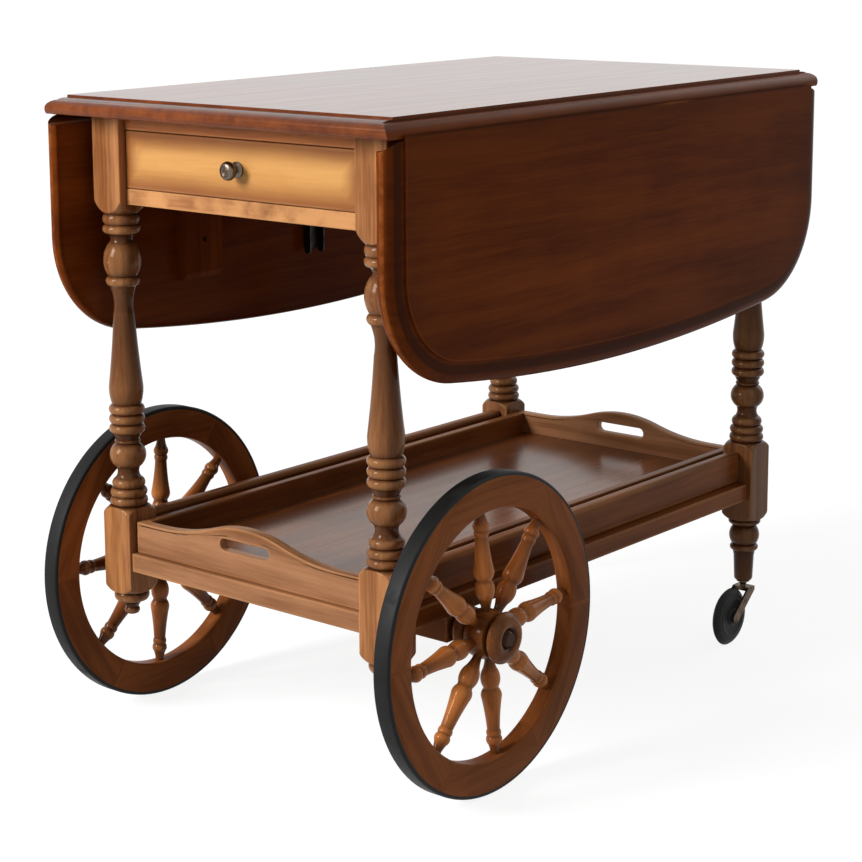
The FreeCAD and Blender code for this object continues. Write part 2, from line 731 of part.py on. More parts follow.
def spoke():
    """Turned spoke pointing up, with a plain tenon for the felloe and one for the hub."""
    turnings = [(SPOKE_TENON, None, SPOKE_TENON_RADIUS)]
    turnings += filled(SPOKE_TURNINGS, FELLOE_INNER - HUB_BELLY)
    turnings += [(HUB_BELLY - SPOKE_ROOT, None, SPOKE_TENON_RADIUS)]
    return turned(FELLOE_INNER + SPOKE_TENON, SPOKE_TENON_RADIUS, turnings)


def mortised(shape):
    """A wheel piece about X with a hole for each spoke's tenon."""
    length = FELLOE_INNER + SPOKE_TENON - SPOKE_ROOT
    drill = rod(Vector(0, 0, SPOKE_ROOT), UP, SPOKE_TENON_RADIUS, length)
    for hole in spoke_ring(drill):
        shape = shape.cut(hole)
    return shape


def wheel():
    """Right wheel's pieces by name."""
    half = FELLOE_WIDTH / 2
    flat = half - TYRE_ROUND
    slope = TYRE_ROUND * QUARTER
    tyre = Part.Face(outline(Vector(FELLOE_RADIUS, 0, -half), [
        Vector(WHEEL_RADIUS - TYRE_ROUND, 0, -half),
        (Vector(WHEEL_RADIUS - slope, 0, slope - half), Vector(WHEEL_RADIUS, 0, -flat)),
        Vector(WHEEL_RADIUS, 0, flat),
        (Vector(WHEEL_RADIUS - slope, 0, half - slope), Vector(WHEEL_RADIUS - TYRE_ROUND, 0, half)),
        Vector(FELLOE_RADIUS, 0, half),
    ])).revolve(ORIGIN, UP, 360)
    edge = half - FELLOE_ROUND
    ease = FELLOE_ROUND * QUARTER
    felloe = Part.Face(outline(Vector(FELLOE_RADIUS, 0, -half), [
        Vector(FELLOE_RADIUS, 0, half),
        Vector(FELLOE_INNER + FELLOE_ROUND, 0, half),
        (Vector(FELLOE_INNER + ease, 0, half - ease), Vector(FELLOE_INNER, 0, edge)),
        Vector(FELLOE_INNER, 0, -edge),
        (Vector(FELLOE_INNER + ease, 0, ease - half), Vector(FELLOE_INNER + FELLOE_ROUND, 0, -half)),
    ])).revolve(ORIGIN, UP, 360)
    hub = turned(HUB_OUTBOARD, HUB_END_RADIUS, filled(HUB_TURNINGS, HUB_OUTBOARD + HUB_INBOARD))
    bore = rod(Vector(0, 0, -HUB_INBOARD), UP, AXLE_RADIUS + AXLE_RUNNING, HUB_INBOARD + HUB_OUTBOARD)
    recess = rod(Vector(0, 0, HUB_OUTBOARD - HUB_RECESS_DEPTH), UP, HUB_RECESS_RADIUS, HUB_RECESS_DEPTH)
    cap_height = sum(turning[0] for turning in CAP_TURNINGS)
    cap = turned(HUB_OUTBOARD + cap_height, CAP_BOSS_RADIUS, CAP_TURNINGS)
    spigot = rod(Vector(0, 0, HUB_OUTBOARD - CAP_SPIGOT), UP, HUB_RECESS_RADIUS, CAP_SPIGOT)
    about_x = {
        "wheel_tyre": on_axle(tyre),
        "wheel_felloe": mortised(on_axle(felloe)),
        "wheel_spokes": Part.makeCompound(spoke_ring(spoke())),
        "wheel_hub": mortised(on_axle(hub.cut(bore).cut(recess))),
        "wheel_hub_cap": on_axle(cap.fuse(spigot).removeSplitter()),
    }
    place = Vector(WHEEL_X, AXLE_Y, WHEEL_RADIUS)
    return {name: shape.translated(place) for name, shape in about_x.items()}


def axle():
    """Beam, rod, and the washers and nuts at both ends."""
    beam = block((-SIDE_RAIL_X, SIDE_RAIL_X), (AXLE_Y - BEAM_WIDTH / 2, AXLE_Y + BEAM_WIDTH / 2),
                 (RAIL_BOTTOM - BEAM_HEIGHT, RAIL_BOTTOM))
    end = WHEEL_X + HUB_OUTBOARD - CAP_SPIGOT - NUT_GAP
    bar = rod(Vector(-end, AXLE_Y, WHEEL_RADIUS), ALONG_X, AXLE_RADIUS, 2 * end)
    washer = rod(Vector(SIDE_RAIL_X, AXLE_Y, WHEEL_RADIUS), ALONG_X, WASHER_RADIUS, WASHER_THICK)
    washer = washer.cut(bar)
    seat = WHEEL_X + HUB_OUTBOARD - HUB_RECESS_DEPTH + NUT_GAP
    corners = [math.radians(60 * index) for index in range(6)]
    middle = Vector(seat, AXLE_Y, WHEEL_RADIUS)
    points = [middle + Vector(0, math.cos(turn), math.sin(turn)) * NUT_RADIUS for turn in corners]
    nut = prism(Part.makePolygon(points + points[:1]), Vector(NUT_THICK, 0, 0)).cut(bar)
    fittings = [washer, nut, mirrored(washer), mirrored(nut)]
    return {"axle_beam": beam.cut(bar), "axle_rod": bar, "axle_fittings": Part.makeCompound(fittings)}


def caster_socket():
    """Sleeve with a flange, let into the right rear leg's end."""
    sleeve = rod(Vector(0, 0, CASTER_FOOT), UP, SOCKET_RADIUS, SOCKET_DEPTH)
    flange = rod(Vector(0, 0, CASTER_FOOT - SOCKET_FLANGE), UP, SOCKET_FLANGE_RADIUS, SOCKET_FLANGE)
    bore = rod(Vector(0, 0, CASTER_FOOT - SOCKET_FLANGE), UP, STEM_RADIUS + AXLE_RUNNING,
               SOCKET_FLANGE + SOCKET_DEPTH)
    return sleeve.fuse(flange).removeSplitter().cut(bore).translated(Vector(LEG_X, LEG_Y, 0))


def caster_fork():
    """Right caster's fork: stem with a flared collar, crown, two raked cheeks, and the axle rivet."""
    seat = CASTER_FOOT - SOCKET_FLANGE - HUB_GAP
    stem = turned(CASTER_FOOT + SOCKET_DEPTH - SOCKET_FLANGE, STEM_RADIUS, [
        (SOCKET_DEPTH - SOCKET_FLANGE + CASTER_FOOT - seat, None, STEM_RADIUS),
        (0.0, None, STEM_COLLAR_RADIUS),
        (STEM_COLLAR, None, STEM_RADIUS),
        (seat - STEM_COLLAR - FORK_TOP + FORK_CROWN, None, STEM_RADIUS),
    ])
    inner = CASTER_WIDTH / 2 + FORK_SIDE_GAP
    outer = inner + FORK_SHEET
    crown = block((-outer, outer), (-FORK_FRONT, FORK_BACK), (FORK_TOP - FORK_CROWN, FORK_TOP))
    crown_height = FORK_TOP - FORK_CROWN / 2 - CASTER_RADIUS
    rake = math.atan2(crown_height, CASTER_TRAIL + (FORK_BACK - FORK_FRONT) / 2)
    along = Vector(0, math.cos(rake), math.sin(rake)) * FORK_EYE
    across = Vector(0, -math.sin(rake), math.cos(rake)) * FORK_EYE
    eye = Vector(inner, -CASTER_TRAIL, CASTER_RADIUS)
    cheek = prism(outline(eye + across, [
        Vector(inner, -FORK_FRONT, FORK_TOP),
        Vector(inner, FORK_BACK, FORK_TOP),
        Vector(inner, FORK_BACK, FORK_TOP - FORK_CROWN),
        eye - across,
        (eye - along, eye + across),
    ]), Vector(FORK_SHEET, 0, 0))
    hole = rod(Vector(-outer, -CASTER_TRAIL, CASTER_RADIUS), ALONG_X, CASTER_AXLE_RADIUS, 2 * outer)
    body = crown.fuse([cheek, mirrored(cheek), stem]).cut(hole).removeSplitter()
    return Part.makeCompound([body, hole]).translated(Vector(LEG_X, LEG_Y, 0))


def caster_wheel():
    """Right caster's wheel, dished on both faces about a raised hub."""
    half = CASTER_WIDTH / 2
    rim = CASTER_RADIUS - half
    bore = CASTER_AXLE_RADIUS + AXLE_RUNNING
    dish = half - CASTER_DISH
    section = outline(Vector(bore, 0, half), [
        Vector(CASTER_HUB_RADIUS, 0, half),
        Vector(CASTER_HUB_RADIUS + CASTER_DISH, 0, dish),
        Vector(rim, 0, dish),
        (Vector(CASTER_RADIUS - CASTER_DISH, 0, dish / 2), Vector(CASTER_RADIUS, 0, 0)),
        (Vector(CASTER_RADIUS - CASTER_DISH, 0, -dish / 2), Vector(rim, 0, -dish)),
        Vector(CASTER_HUB_RADIUS + CASTER_DISH, 0, -dish),
        Vector(CASTER_HUB_RADIUS, 0, -half),
        Vector(bore, 0, -half),
    ])
    wheel_body = Part.Face(section).revolve(ORIGIN, UP, 360).rotated(ORIGIN, ALONG_Y, 90)
    return wheel_body.translated(Vector(LEG_X, LEG_Y - CASTER_TRAIL, CASTER_RADIUS))


def shelf_and_aprons():
    """Boards between the legs by name, right hand ones for the sides."""
    apron_z = (APRON_BOTTOM, UNDERSIDE)
    bay_x = (-BAY_X, BAY_X)
    bay_y = (-BAY_Y, BAY_Y)
    rail_z = (RAIL_BOTTOM, RAIL_TOP)
    rail_y = (END_RAIL_SETBACK - FRONT_Y, END_RAIL_SETBACK - FRONT_Y + END_RAIL_THICK)
    front_y = (-APRON_FACE_Y, -APRON_INNER_Y)
    single = {
        "apron_back": block(bay_x, (APRON_INNER_Y, APRON_FACE_Y), apron_z),
        "drawer_rail_upper": block(bay_x, front_y, (DRAWER_CEILING_Z, UNDERSIDE)),
        "drawer_rail_lower": block(bay_x, front_y, (APRON_BOTTOM, DRAWER_FLOOR_Z)),
        "shelf_rail_front": block(bay_x, rail_y, rail_z),
        "shelf_rail_rear": block(bay_x, (-rail_y[1], -rail_y[0]), rail_z),
    }
    paired = {
        "apron": block((APRON_INNER_X, APRON_FACE_X), bay_y, apron_z),
        "shelf_rail": block((SIDE_RAIL_X - SIDE_RAIL_WIDTH, SIDE_RAIL_X), bay_y, rail_z),
    }
    return single, paired


def pieces():
    """Every piece by its node name, at rest."""
    single, paired = shelf_and_aprons()
    hinges = hinge_places()
    cleats = [cleat(side * CLEAT_PITCH / 2) for side in (-1, 1)]
    top_plates = [hinge_plate(y, HINGE_TOP_REACH, -1, 0, HINGE_PIN_RADIUS) for y in hinges]
    loose = HINGE_PIN_RADIUS + AXLE_RUNNING
    leaf_plates = [hinge_plate(y, HINGE_LEAF_REACH, 1, 1, loose) for y in hinges]
    fixed_hinges = Part.makeCompound(top_plates + [hinge_pin(y) for y in hinges])
    single["top_board"] = top_board()
    single["hinge_top_plates"] = Part.makeCompound(fixed_hinges.Solids + mirrored(fixed_hinges).Solids)
    single["stay_keepers"] = Part.makeCompound([stay_keeper(), mirrored(stay_keeper())])
    single["caster_sockets"] = Part.makeCompound([caster_socket(), mirrored(caster_socket())])
    single.update(drawer())
    single.update(tray())
    single.update(axle())
    paired["leg_front"] = front_leg()
    paired["leg_rear"] = rear_leg()
    paired["drawer_runner"] = drawer_runner()
    paired["shelf_fence"] = shelf_fence()
    paired["leaf"] = hung(leaf())
    paired["hinge_leaf_plates"] = hung(Part.makeCompound(leaf_plates))
    paired["leaf_cleats"] = hung(Part.makeCompound(cleats))
    paired["stay_plate"] = hung(stay_plate())
    paired["stay_arm"] = hung(stay_arm())
    paired["caster_fork"] = caster_fork()
    paired["caster_wheel"] = caster_wheel()
    wheel_pieces = wheel()
    paired.update(wheel_pieces)
    for name, shape in paired.items():
        single[name + "_right"] = shape
        single[name + "_left"] = mirrored(shape)
    axle_middle = Vector(0, AXLE_Y, WHEEL_RADIUS)
    for name in wheel_pieces:
        rolled = single[name + "_left"].rotated(axle_middle, ALONG_X, -LEFT_WHEEL_TURN)
        single[name + "_left"] = rolled
    return single


os.makedirs("parts", exist_ok=True)
for node, shape in pieces().items():
    shape.translated(Vector(0, -MIDDLE_Y, 0)).exportStep("parts/" + node + ".step")
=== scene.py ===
import math

import bpy
import numpy as np
from bpy.props import FloatProperty, FloatVectorProperty, IntProperty, PointerProperty
from mathutils import Matrix, Vector


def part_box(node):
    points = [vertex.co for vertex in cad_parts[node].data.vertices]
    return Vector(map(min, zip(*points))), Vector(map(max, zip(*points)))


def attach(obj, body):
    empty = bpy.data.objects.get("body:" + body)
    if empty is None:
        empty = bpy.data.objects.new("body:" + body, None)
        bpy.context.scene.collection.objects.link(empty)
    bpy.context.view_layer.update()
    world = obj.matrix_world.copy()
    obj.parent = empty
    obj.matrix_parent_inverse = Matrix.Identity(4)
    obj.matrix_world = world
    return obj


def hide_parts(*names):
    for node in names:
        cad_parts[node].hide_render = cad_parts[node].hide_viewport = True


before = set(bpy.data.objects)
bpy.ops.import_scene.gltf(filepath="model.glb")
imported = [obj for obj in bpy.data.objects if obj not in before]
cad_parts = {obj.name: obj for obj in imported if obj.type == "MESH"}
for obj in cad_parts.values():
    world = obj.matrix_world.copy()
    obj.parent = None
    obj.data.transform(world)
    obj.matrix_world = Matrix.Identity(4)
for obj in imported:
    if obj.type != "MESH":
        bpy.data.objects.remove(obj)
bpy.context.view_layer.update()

bl_info = {
    "name": "Drop Leaf Tea Trolley",
    "version": (1, 0, 0),
    "blender": (4, 5, 0),
    "location": "View3D > Sidebar > Trolley",
    "description": "Dresses a drop leaf tea trolley in turned, moulded and varnished wood",
    "category": "Object",
}

MM = 0.001
SIDES = {"left": -1.0, "right": 1.0}
ALONG = {"x": (1, 2, 0), "y": (2, 0, 1), "z": (0, 1, 2)}

# Turnings from the top down as (height, radius at mid height, radius at the end), in millimetres.
# No mid radius makes a straight taper, and the one turning with no height takes what is left.
POMMEL_NECK = 18.5
LEG_TURNINGS = [
    (12.0, 20.5, 18.0),
    (10.0, 20.9, 16.0),
    (10.5, 12.4, 14.5),
    (36.5, 20.9, 16.0),
    (11.0, 18.9, 15.0),
    (31.0, 11.0, 11.8),
    (None, 14.8, 19.0),
    (22.0, 18.8, 16.0),
    (11.0, 20.0, 16.5),
    (11.0, 20.0, 16.5),
    (11.0, 20.0, 16.0),
    (7.0, None, 13.0),
    (4.0, 14.5, 13.0),
    (27.0, 20.3, 13.5),
    (13.0, 12.0, 15.0),
    (10.5, 18.4, 16.5),
    (10.0, 20.5, 18.0),
    (10.0, 20.9, POMMEL_NECK),
]
DROP_TURNINGS = [
    (10.0, 19.8, 17.5),
    (9.0, 9.5, 7.0),
    (8.0, 8.6, 3.3),
]
FOOT_TURNINGS = [
    (6.0, 19.8, 17.0),
    (3.0, None, 14.5),
    (23.0, 18.6, 14.5),
    (8.0, 17.5, 14.0),
    (6.5, None, 12.6),
    (None, None, 11.4),
    (4.0, 10.8, 8.5),
]
SPOKE_TENON_RADIUS = 4.7
SPOKE_TURNINGS = [
    (11.0, 5.4, 7.0),
    (9.0, 8.6, 7.0),
    (7.0, 7.9, 6.8),
    (None, 8.3, 11.0),
    (8.0, 10.8, 9.0),
    (4.0, 8.2, 8.6),
    (19.0, 10.5, 7.5),
    (12.0, 5.6, SPOKE_TENON_RADIUS),
]
HUB_BELLY = 26.5
HUB_END_RADIUS = 22.0
HUB_TURNINGS = [
    (5.0, 19.0, 22.0),
    (1.0, None, 25.0),
    (24.0, HUB_BELLY, 25.0),
    (1.0, None, 20.0),
    (4.0, 18.5, 20.0),
    (14.0, 24.0, 19.0),
    (None, None, 16.0),
]
CAP_BOSS_RADIUS = 7.0
CAP_TURNINGS = [
    (4.0, 8.6, 10.0),
    (-3.0, 11.4, 14.0),
    (5.0, 24.0, 26.0),
    (6.0, 27.4, 25.0),
]


def millimetres(node):
    """Lowest and highest corner of a CAD node, in millimetres."""
    low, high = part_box(node)
    return np.array(low) / MM, np.array(high) / MM


TOP_LOW, TOP_HIGH = millimetres("top_board")
MIDDLE_Y = (TOP_LOW[1] + TOP_HIGH[1]) / 2
HALF_LENGTH = (TOP_HIGH[1] - TOP_LOW[1]) / 2


def colour_setting(name, description, *default):
    """Property for a colour."""
    return FloatVectorProperty(name=name, description=description, subtype="COLOR", size=3, default=default)


def length_setting(name, description, default, least):
    """Property for a length, with its default and its least value in millimetres."""
    return FloatProperty(name=name, description=description, unit="LENGTH", default=default * MM,
                         min=least * MM)


def count_setting(name, description, default, least):
    """Property for a whole number."""
    return IntProperty(name=name, description=description, default=default, min=least)


def share_setting(name, description, default):
    """Property for a share from 0 to 1."""
    return FloatProperty(name=name, description=description, subtype="FACTOR", default=default, min=0.0,
                         max=1.0)


def angle_setting(name, description, degrees):
    """Property for an angle, with its default in degrees."""
    return FloatProperty(name=name, description=description, default=math.radians(degrees), subtype="ANGLE")


def light_setting(name, description, default):
    """Property for a lamp's power or the sky's strength."""
    return FloatProperty(name=name, description=description, default=default, min=0.0)


class TrolleySizes(bpy.types.PropertyGroup):
    """Sizes of the dressed pieces that the frame doesn't give."""

    arris: length_setting("Arris", "Radius that the boards' edges are eased to", 1.1, 0.1)
    rub: length_setting("Rub", "Width of the rubbed band along a board's edges", 2.5, 0.5)
    burst: length_setting("Burst", "Width of the darker shading along a panel's edges", 27.0, 1.0)
    lathe_pitch: length_setting("Lathe Pitch", "Height of a row of faces on a turned piece", 1.0, 0.2)
    lathe_steps: count_setting("Lathe Steps", "Faces round a turned piece", 64, 12)
    rim_steps: count_setting("Rim Steps", "Faces round a wheel's rim", 192, 24)


class TrolleyFinish(bpy.types.PropertyGroup):
    """Colours of the trolley's woods, varnish, rubber and metal."""

    top_dark: colour_setting("Top Dark", "Dark grain of the top and leaves", 0.091, 0.0158, 0.0017)
    top_light: colour_setting("Top Light", "Light grain of the top and leaves", 0.222, 0.0480, 0.0055)
    frame_dark: colour_setting("Frame Dark", "Dark grain of legs and rubbed rail", 0.150, 0.045, 0.0125)
    frame_light: colour_setting("Frame Light", "Light grain of legs and rubbed rail", 0.560, 0.248, 0.0930)
    rim_dark: colour_setting("Rim Dark", "Dark grain of rims, hubs and rails", 0.098, 0.0265, 0.0066)
    rim_light: colour_setting("Rim Light", "Light grain of rims, hubs and rails", 0.272, 0.084, 0.0220)
    honey_dark: colour_setting("Honey Dark", "Dark grain of the drawer's front", 0.470, 0.205, 0.0540)
    honey_light: colour_setting("Honey Light", "Light grain of the drawer's front", 0.620, 0.325, 0.1020)
    honey_edge: colour_setting("Honey Edge", "Toned edges of the drawer's front", 0.200, 0.055, 0.0140)
    amber_dark: colour_setting("Amber Dark", "Dark grain of the tray's ends", 0.180, 0.067, 0.0240)
    amber_light: colour_setting("Amber Light", "Light grain of the tray's ends", 0.420, 0.197, 0.0940)
    spoke_dark: colour_setting("Spoke Dark", "Dark grain of the spokes", 0.230, 0.056, 0.0110)
    spoke_light: colour_setting("Spoke Light", "Light grain of the spokes", 0.590, 0.205, 0.0480)
    bare_dark: colour_setting("Bare Dark", "Dark grain of the drawer's bare box", 0.240, 0.144, 0.066)
    bare_light: colour_setting("Bare Light", "Light grain of the drawer's bare box", 0.400, 0.240, 0.110)
    worn: colour_setting("Worn", "Wood that shows where the varnish is rubbed", 0.600, 0.290, 0.1120)
    chip: colour_setting("Chip", "Wood that shows where dark varnish is rubbed", 0.480, 0.150, 0.0360)
    # Toner also paints shade on the rear legs and the left wheel's spokes.
    toner: colour_setting("Toner", "Dark varnish in grooves and along edges", 0.040, 0.0110, 0.0040)
    sheen: colour_setting("Varnish Tint", "Tint of the varnish's reflections", 1.0, 0.72, 0.48)
    rubber: colour_setting("Rubber", "Tyres and caster wheels", 0.0060, 0.0060, 0.0058)
    bronze: colour_setting("Bronze", "Caster forks", 0.110, 0.075, 0.048)
    brass: colour_setting("Brass", "Drawer knob", 0.150, 0.115, 0.0880)
    steel: colour_setting("Steel", "Hinges, stays and axle", 0.042, 0.037, 0.0320)


class TrolleyStage(bpy.types.PropertyGroup):
    """Camera, floor and lamps."""

    camera_place: FloatVectorProperty(name="Camera Place", description="Where the camera stands", size=3,
                                      subtype="TRANSLATION", unit="LENGTH", default=(1.5706, -1.9603, 0.9031))
    azimuth: angle_setting("Azimuth", "Camera's turn round the trolley from the drawer end", 40.927)
    elevation: angle_setting("Elevation", "Camera's tilt down", 10.169)
    roll: angle_setting("Roll", "Camera's roll", -0.515)
    lens: FloatProperty(name="Lens", description="Focal length in millimetres", default=91.876, min=10.0)
    shift: FloatVectorProperty(name="Shift", description="Lens shift as shares of the picture", size=2,
                               default=(0.0763, -0.1443))
    floor_colour: colour_setting("Floor", "Floor that lights the trolley from below", 0.62, 0.62, 0.62)
    floor_glow: share_setting("Floor Glow", "Share of the floor's white that has no shadow", 0.87)
    far_glow: share_setting("Far Glow", "The same share where the floor is far from the trolley", 0.97)
    floor_shade: share_setting("Floor Shade", "Share of the floor's white that takes the shadow", 0.25)
    window_power: light_setting("Window", "Power of the window lamp in watts", 160.0)
    fill_power: light_setting("Fill", "Power of the fill lamp in watts", 8.0)
    back_power: light_setting("Back", "Power of the lamp behind in watts", 22.0)
    sky: light_setting("Sky", "Strength of the light from all round", 0.20)


def sizes():
    """The sizes in this scene."""
    return bpy.context.scene.trolley_sizes


def finish():
    """The finish in this scene."""
    return bpy.context.scene.trolley_finish


def placed(name, data):
    """A new object in the scene."""
    made = bpy.data.objects.new(name, data)
    bpy.context.scene.collection.objects.link(made)
    return made


# Surfaces, in millimetres

GRAIN_SHIFT = (37.0, 61.0, 173.0)
MIRROR_SHIFT = (211.0, 87.0, 431.0)
BURST_STEPS = (0.35, 0.65, 1.0)
CREST_REACH = 5.0
CREST_RELIEF = 2.2
CREASE = 32.0
TURNED_CREASE = 40.0


def grid_faces(rows, columns, wrap_rows=False, wrap_columns=True):
    """Quads over a grid of points numbered row by row, joined round where it wraps."""
    i = np.arange(rows if wrap_rows else rows - 1)
    j = np.arange(columns if wrap_columns else columns - 1)
    i, j = np.meshgrid(i, j, indexing="ij")
    below = (i + 1) % rows
    beside = (j + 1) % columns
    corners = [i * columns + j, i * columns + beside, below * columns + beside, below * columns + j]
    return np.stack(corners, axis=-1).reshape(-1, 4)


def loft(points, grain, wear, burst=0.0, wrap_rows=False):
    """Closed surface through rows of points: quads between neighbouring rows, a flat cap on the first and
    last row unless the rows wrap. Its faces are turned to make the volume positive.
    points and grain are rows x columns x 3, wear and burst are rows x columns or less."""
    rows, columns = points.shape[:2]
    quads = grid_faces(rows, columns, wrap_rows)
    flat = points.reshape(-1, 3)
    caps = [] if wrap_rows else [np.arange(columns)[::-1], np.arange(columns) + (rows - 1) * columns]
    centre = flat.mean(0)
    a, b, c, d = (flat[quads[:, k]] - centre for k in range(4))
    volume = np.einsum("ij,ij->", np.cross(a, b), c) + np.einsum("ij,ij->", np.cross(a, c), d)
    for cap in caps:
        ring = flat[cap] - centre
        fan = np.cross(ring[1:-1], ring[2:])
        volume += (fan @ ring[0]).sum()
    spread = np.ones((rows, columns))
    made = {"points": flat, "quads": quads, "caps": caps, "grain": grain.reshape(-1, 3),
            "wear": (wear * spread).reshape(-1), "burst": (burst * spread).reshape(-1)}
    return flipped(made) if volume < 0 else made


def flipped(surface):
    """A surface with its faces turned over."""
    return dict(surface, quads=surface["quads"][:, ::-1], caps=[cap[::-1] for cap in surface["caps"]])


def moved(surface, offset):
    """A surface moved by an offset."""
    return dict(surface, points=surface["points"] + offset)


def joined(surfaces):
    """Several surfaces as one."""
    start = np.cumsum([0] + [len(surface["points"]) for surface in surfaces])
    whole = {key: np.concatenate([surface[key] for surface in surfaces])
             for key in ("points", "grain", "wear", "burst")}
    whole["quads"] = np.concatenate([surface["quads"] + offset for surface, offset in zip(surfaces, start)])
    whole["caps"] = [cap + offset for surface, offset in zip(surfaces, start) for cap in surface["caps"]]
    return whole


def piece(node, surface, body, finish_name, crease=CREASE):
    """Mesh object for a surface. It stands for a CAD node, rides on a body and has a finish."""
    name = "finished_" + node
    mesh = bpy.data.meshes.new(name)
    quads = surface["quads"]
    caps = surface["caps"]
    corners = np.concatenate([quads.reshape(-1)] + list(caps)).astype(np.int32)
    counts = np.concatenate([np.full(len(quads), 4), [len(cap) for cap in caps]]).astype(np.int32)
    starts = np.concatenate([[0], np.cumsum(counts)[:-1]]).astype(np.int32)
    mesh.vertices.add(len(surface["points"]))
    mesh.vertices.foreach_set("co", (surface["points"] * MM).astype(np.float32).ravel())
    mesh.loops.add(len(corners))
    mesh.loops.foreach_set("vertex_index", corners)
    mesh.polygons.add(len(counts))
    mesh.polygons.foreach_set("loop_start", starts)
    mesh.polygons.foreach_set("use_smooth", np.ones(len(counts), bool))
    mesh.update(calc_edges=True)
    mesh.set_sharp_from_angle(angle=math.radians(crease))
    grain = mesh.attributes.new("grain", "FLOAT_VECTOR", "POINT")
    grain.data.foreach_set("vector", (surface["grain"] * MM).astype(np.float32).ravel())
    for key in ("wear", "burst"):
        values = mesh.attributes.new(key, "FLOAT", "POINT")
        values.data.foreach_set("value", surface[key].astype(np.float32))
    mesh.materials.append(material(finish_name))
    made = placed(name, mesh)
    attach(made, body)
    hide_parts(node)


def own_grain(points, along, number):
    """Grain place of points: their place with the grain's axis last, shifted so that each piece differs."""
    return points[..., list(ALONG[along])] + np.array(GRAIN_SHIFT) * (number + 1)


def edge_ticks(half, ease, rub, burst):
    """Places across a board of that half width: the eased edges, the rubbed bands and the burst's steps."""
    inner = half - ease
    band = min(rub, 0.6 * inner)
    outer = [half, half - 0.35 * ease, inner, inner - band * 0.5, inner - band]
    for share in BURST_STEPS:
        if burst * share < 0.9 * half and half - burst * share < inner - band:
            outer.append(half - burst * share)
    outer = np.array(outer)
    return np.concatenate([-outer, outer[::-1]])


def board(low, high, along, number, ease=None, burst=0.0):
    """Board with eased edges: a grid over a box's six faces, where each point q moves to
    inner + ease (q - inner) / |q - inner|, with inner the nearest point of the box made smaller by ease.
    Wear grows from 0 on the faces to 1 at the edges, and burst over its own width."""
    ease = sizes().arris / MM if ease is None else ease
    rub = sizes().rub / MM
    half = (high - low) / 2
    ticks = [edge_ticks(size, ease, rub, burst) for size in half]
    points = []
    quads = []
    count = 0
    for axis in range(3):
        first, second = (axis + 1) % 3, (axis + 2) % 3
        a, b = np.meshgrid(ticks[first], ticks[second], indexing="ij")
        faces = grid_faces(len(ticks[first]), len(ticks[second]), False, False)
        for side in (-1, 1):
            face = np.empty(a.shape + (3,))
            face[..., axis] = side * half[axis]
            face[..., first] = a
            face[..., second] = b
            points.append(face.reshape(-1, 3))
            quads.append((faces if side < 0 else faces[:, ::-1]) + count)
            count += a.size
    points = np.concatenate(points)
    points, merged = np.unique(np.round(points, 5), axis=0, return_inverse=True)
    quads = merged.reshape(-1)[np.concatenate(quads)]
    depth = half - np.abs(points)
    near = np.sort(depth, axis=1)
    wear = np.clip(1.0 - (near[:, 1] - ease) / rub, 0, 1)
    dark = np.clip(1.0 - near[:, 1] / burst, 0, 1) if burst else np.zeros(len(points))
    inner = np.clip(points, ease - half, half - ease)
    out = points - inner
    points = inner + ease * out / np.linalg.norm(out, axis=1, keepdims=True)
    points = points + (low + high) / 2
    return {"points": points, "quads": quads, "caps": [], "grain": own_grain(points, along, number),
            "wear": wear, "burst": dark}


def filled(turnings, total):
    """The turnings with the open height set so that they add up to the total."""
    rest = total - sum(height for height, middle, end in turnings if height is not None)
    return [(rest if height is None else height, middle, end) for height, middle, end in turnings]


def turning_arc(start, height, middle, end, count):
    """(radius, depth) down one turning: the circle through its start, mid height and end, or a taper."""
    share = np.linspace(0, 1, count)
    chord = np.array([end - start, height])
    if middle is None or abs(middle - (start + end) / 2) < 1e-3:
        return np.stack([start + share * chord[0], share * chord[1]], axis=1)
    a = np.array([start, 0.0])
    b = np.array([middle, height / 2])
    c = np.array([end, height])
    system = 2 * np.array([b - a, c - a])
    centre = np.linalg.solve(system, np.array([b @ b - a @ a, c @ c - a @ a]))
    turn = [math.atan2(*(point - centre)[::-1]) for point in (a, b, c)]
    turn = np.unwrap(turn)
    angle = turn[0] + share * (turn[2] - turn[0])
    radius = np.linalg.norm(a - centre)
    return centre + radius * np.stack([np.cos(angle), np.sin(angle)], axis=1)


def turned_profile(start, turnings):
    """(radius, depth) rows down a whole turned piece."""
    pitch = sizes().lathe_pitch / MM
    rows = [np.array([[start, 0.0]])]
    depth = 0.0
    radius = start
    for height, middle, end in turnings:
        count = 2 if middle is None else max(7, int(abs(height) / pitch) + 1)
        rows.append(turning_arc(radius, height, middle, end, count)[1:] + [0.0, depth])
        depth += height
        radius = end
    return np.concatenate(rows)


def crest_wear(profile):
    """Wear down a turned profile: how far a radius stands out of, or in from, its neighbourhood."""
    depth = profile[:, 1]
    weight = np.exp(-((depth[:, None] - depth[None, :]) / CREST_REACH) ** 2)
    mean = weight @ profile[:, 0] / weight.sum(1)
    return np.clip((profile[:, 0] - mean) / CREST_RELIEF, -1, 1)


def slender(profile, stout):
    """How slender a turned profile is: 0 from the stout radius up, 1 at half of it."""
    return np.clip((stout - profile[:, 0]) / (0.5 * stout), 0, 1)


def around(steps):
    """Angles of equal steps round a circle."""
    return np.arange(steps) * 2 * math.pi / steps


def swept(radius, turn, height):
    """Points (r cos t, r sin t, height)."""
    return np.stack(np.broadcast_arrays(radius * np.cos(turn), radius * np.sin(turn), height), axis=-1)


def turned(profile, number, steps=None, stout=0.0):
    """Surface of revolution about Z, from height 0 down: (r cos t, r sin t, -depth)."""
    points = swept(profile[:, :1], around(steps or sizes().lathe_steps), -profile[:, 1:])
    dark = slender(profile, stout)[:, None] if stout else 0.0
    return loft(points, own_grain(points, "z", number), crest_wear(profile)[:, None], dark)


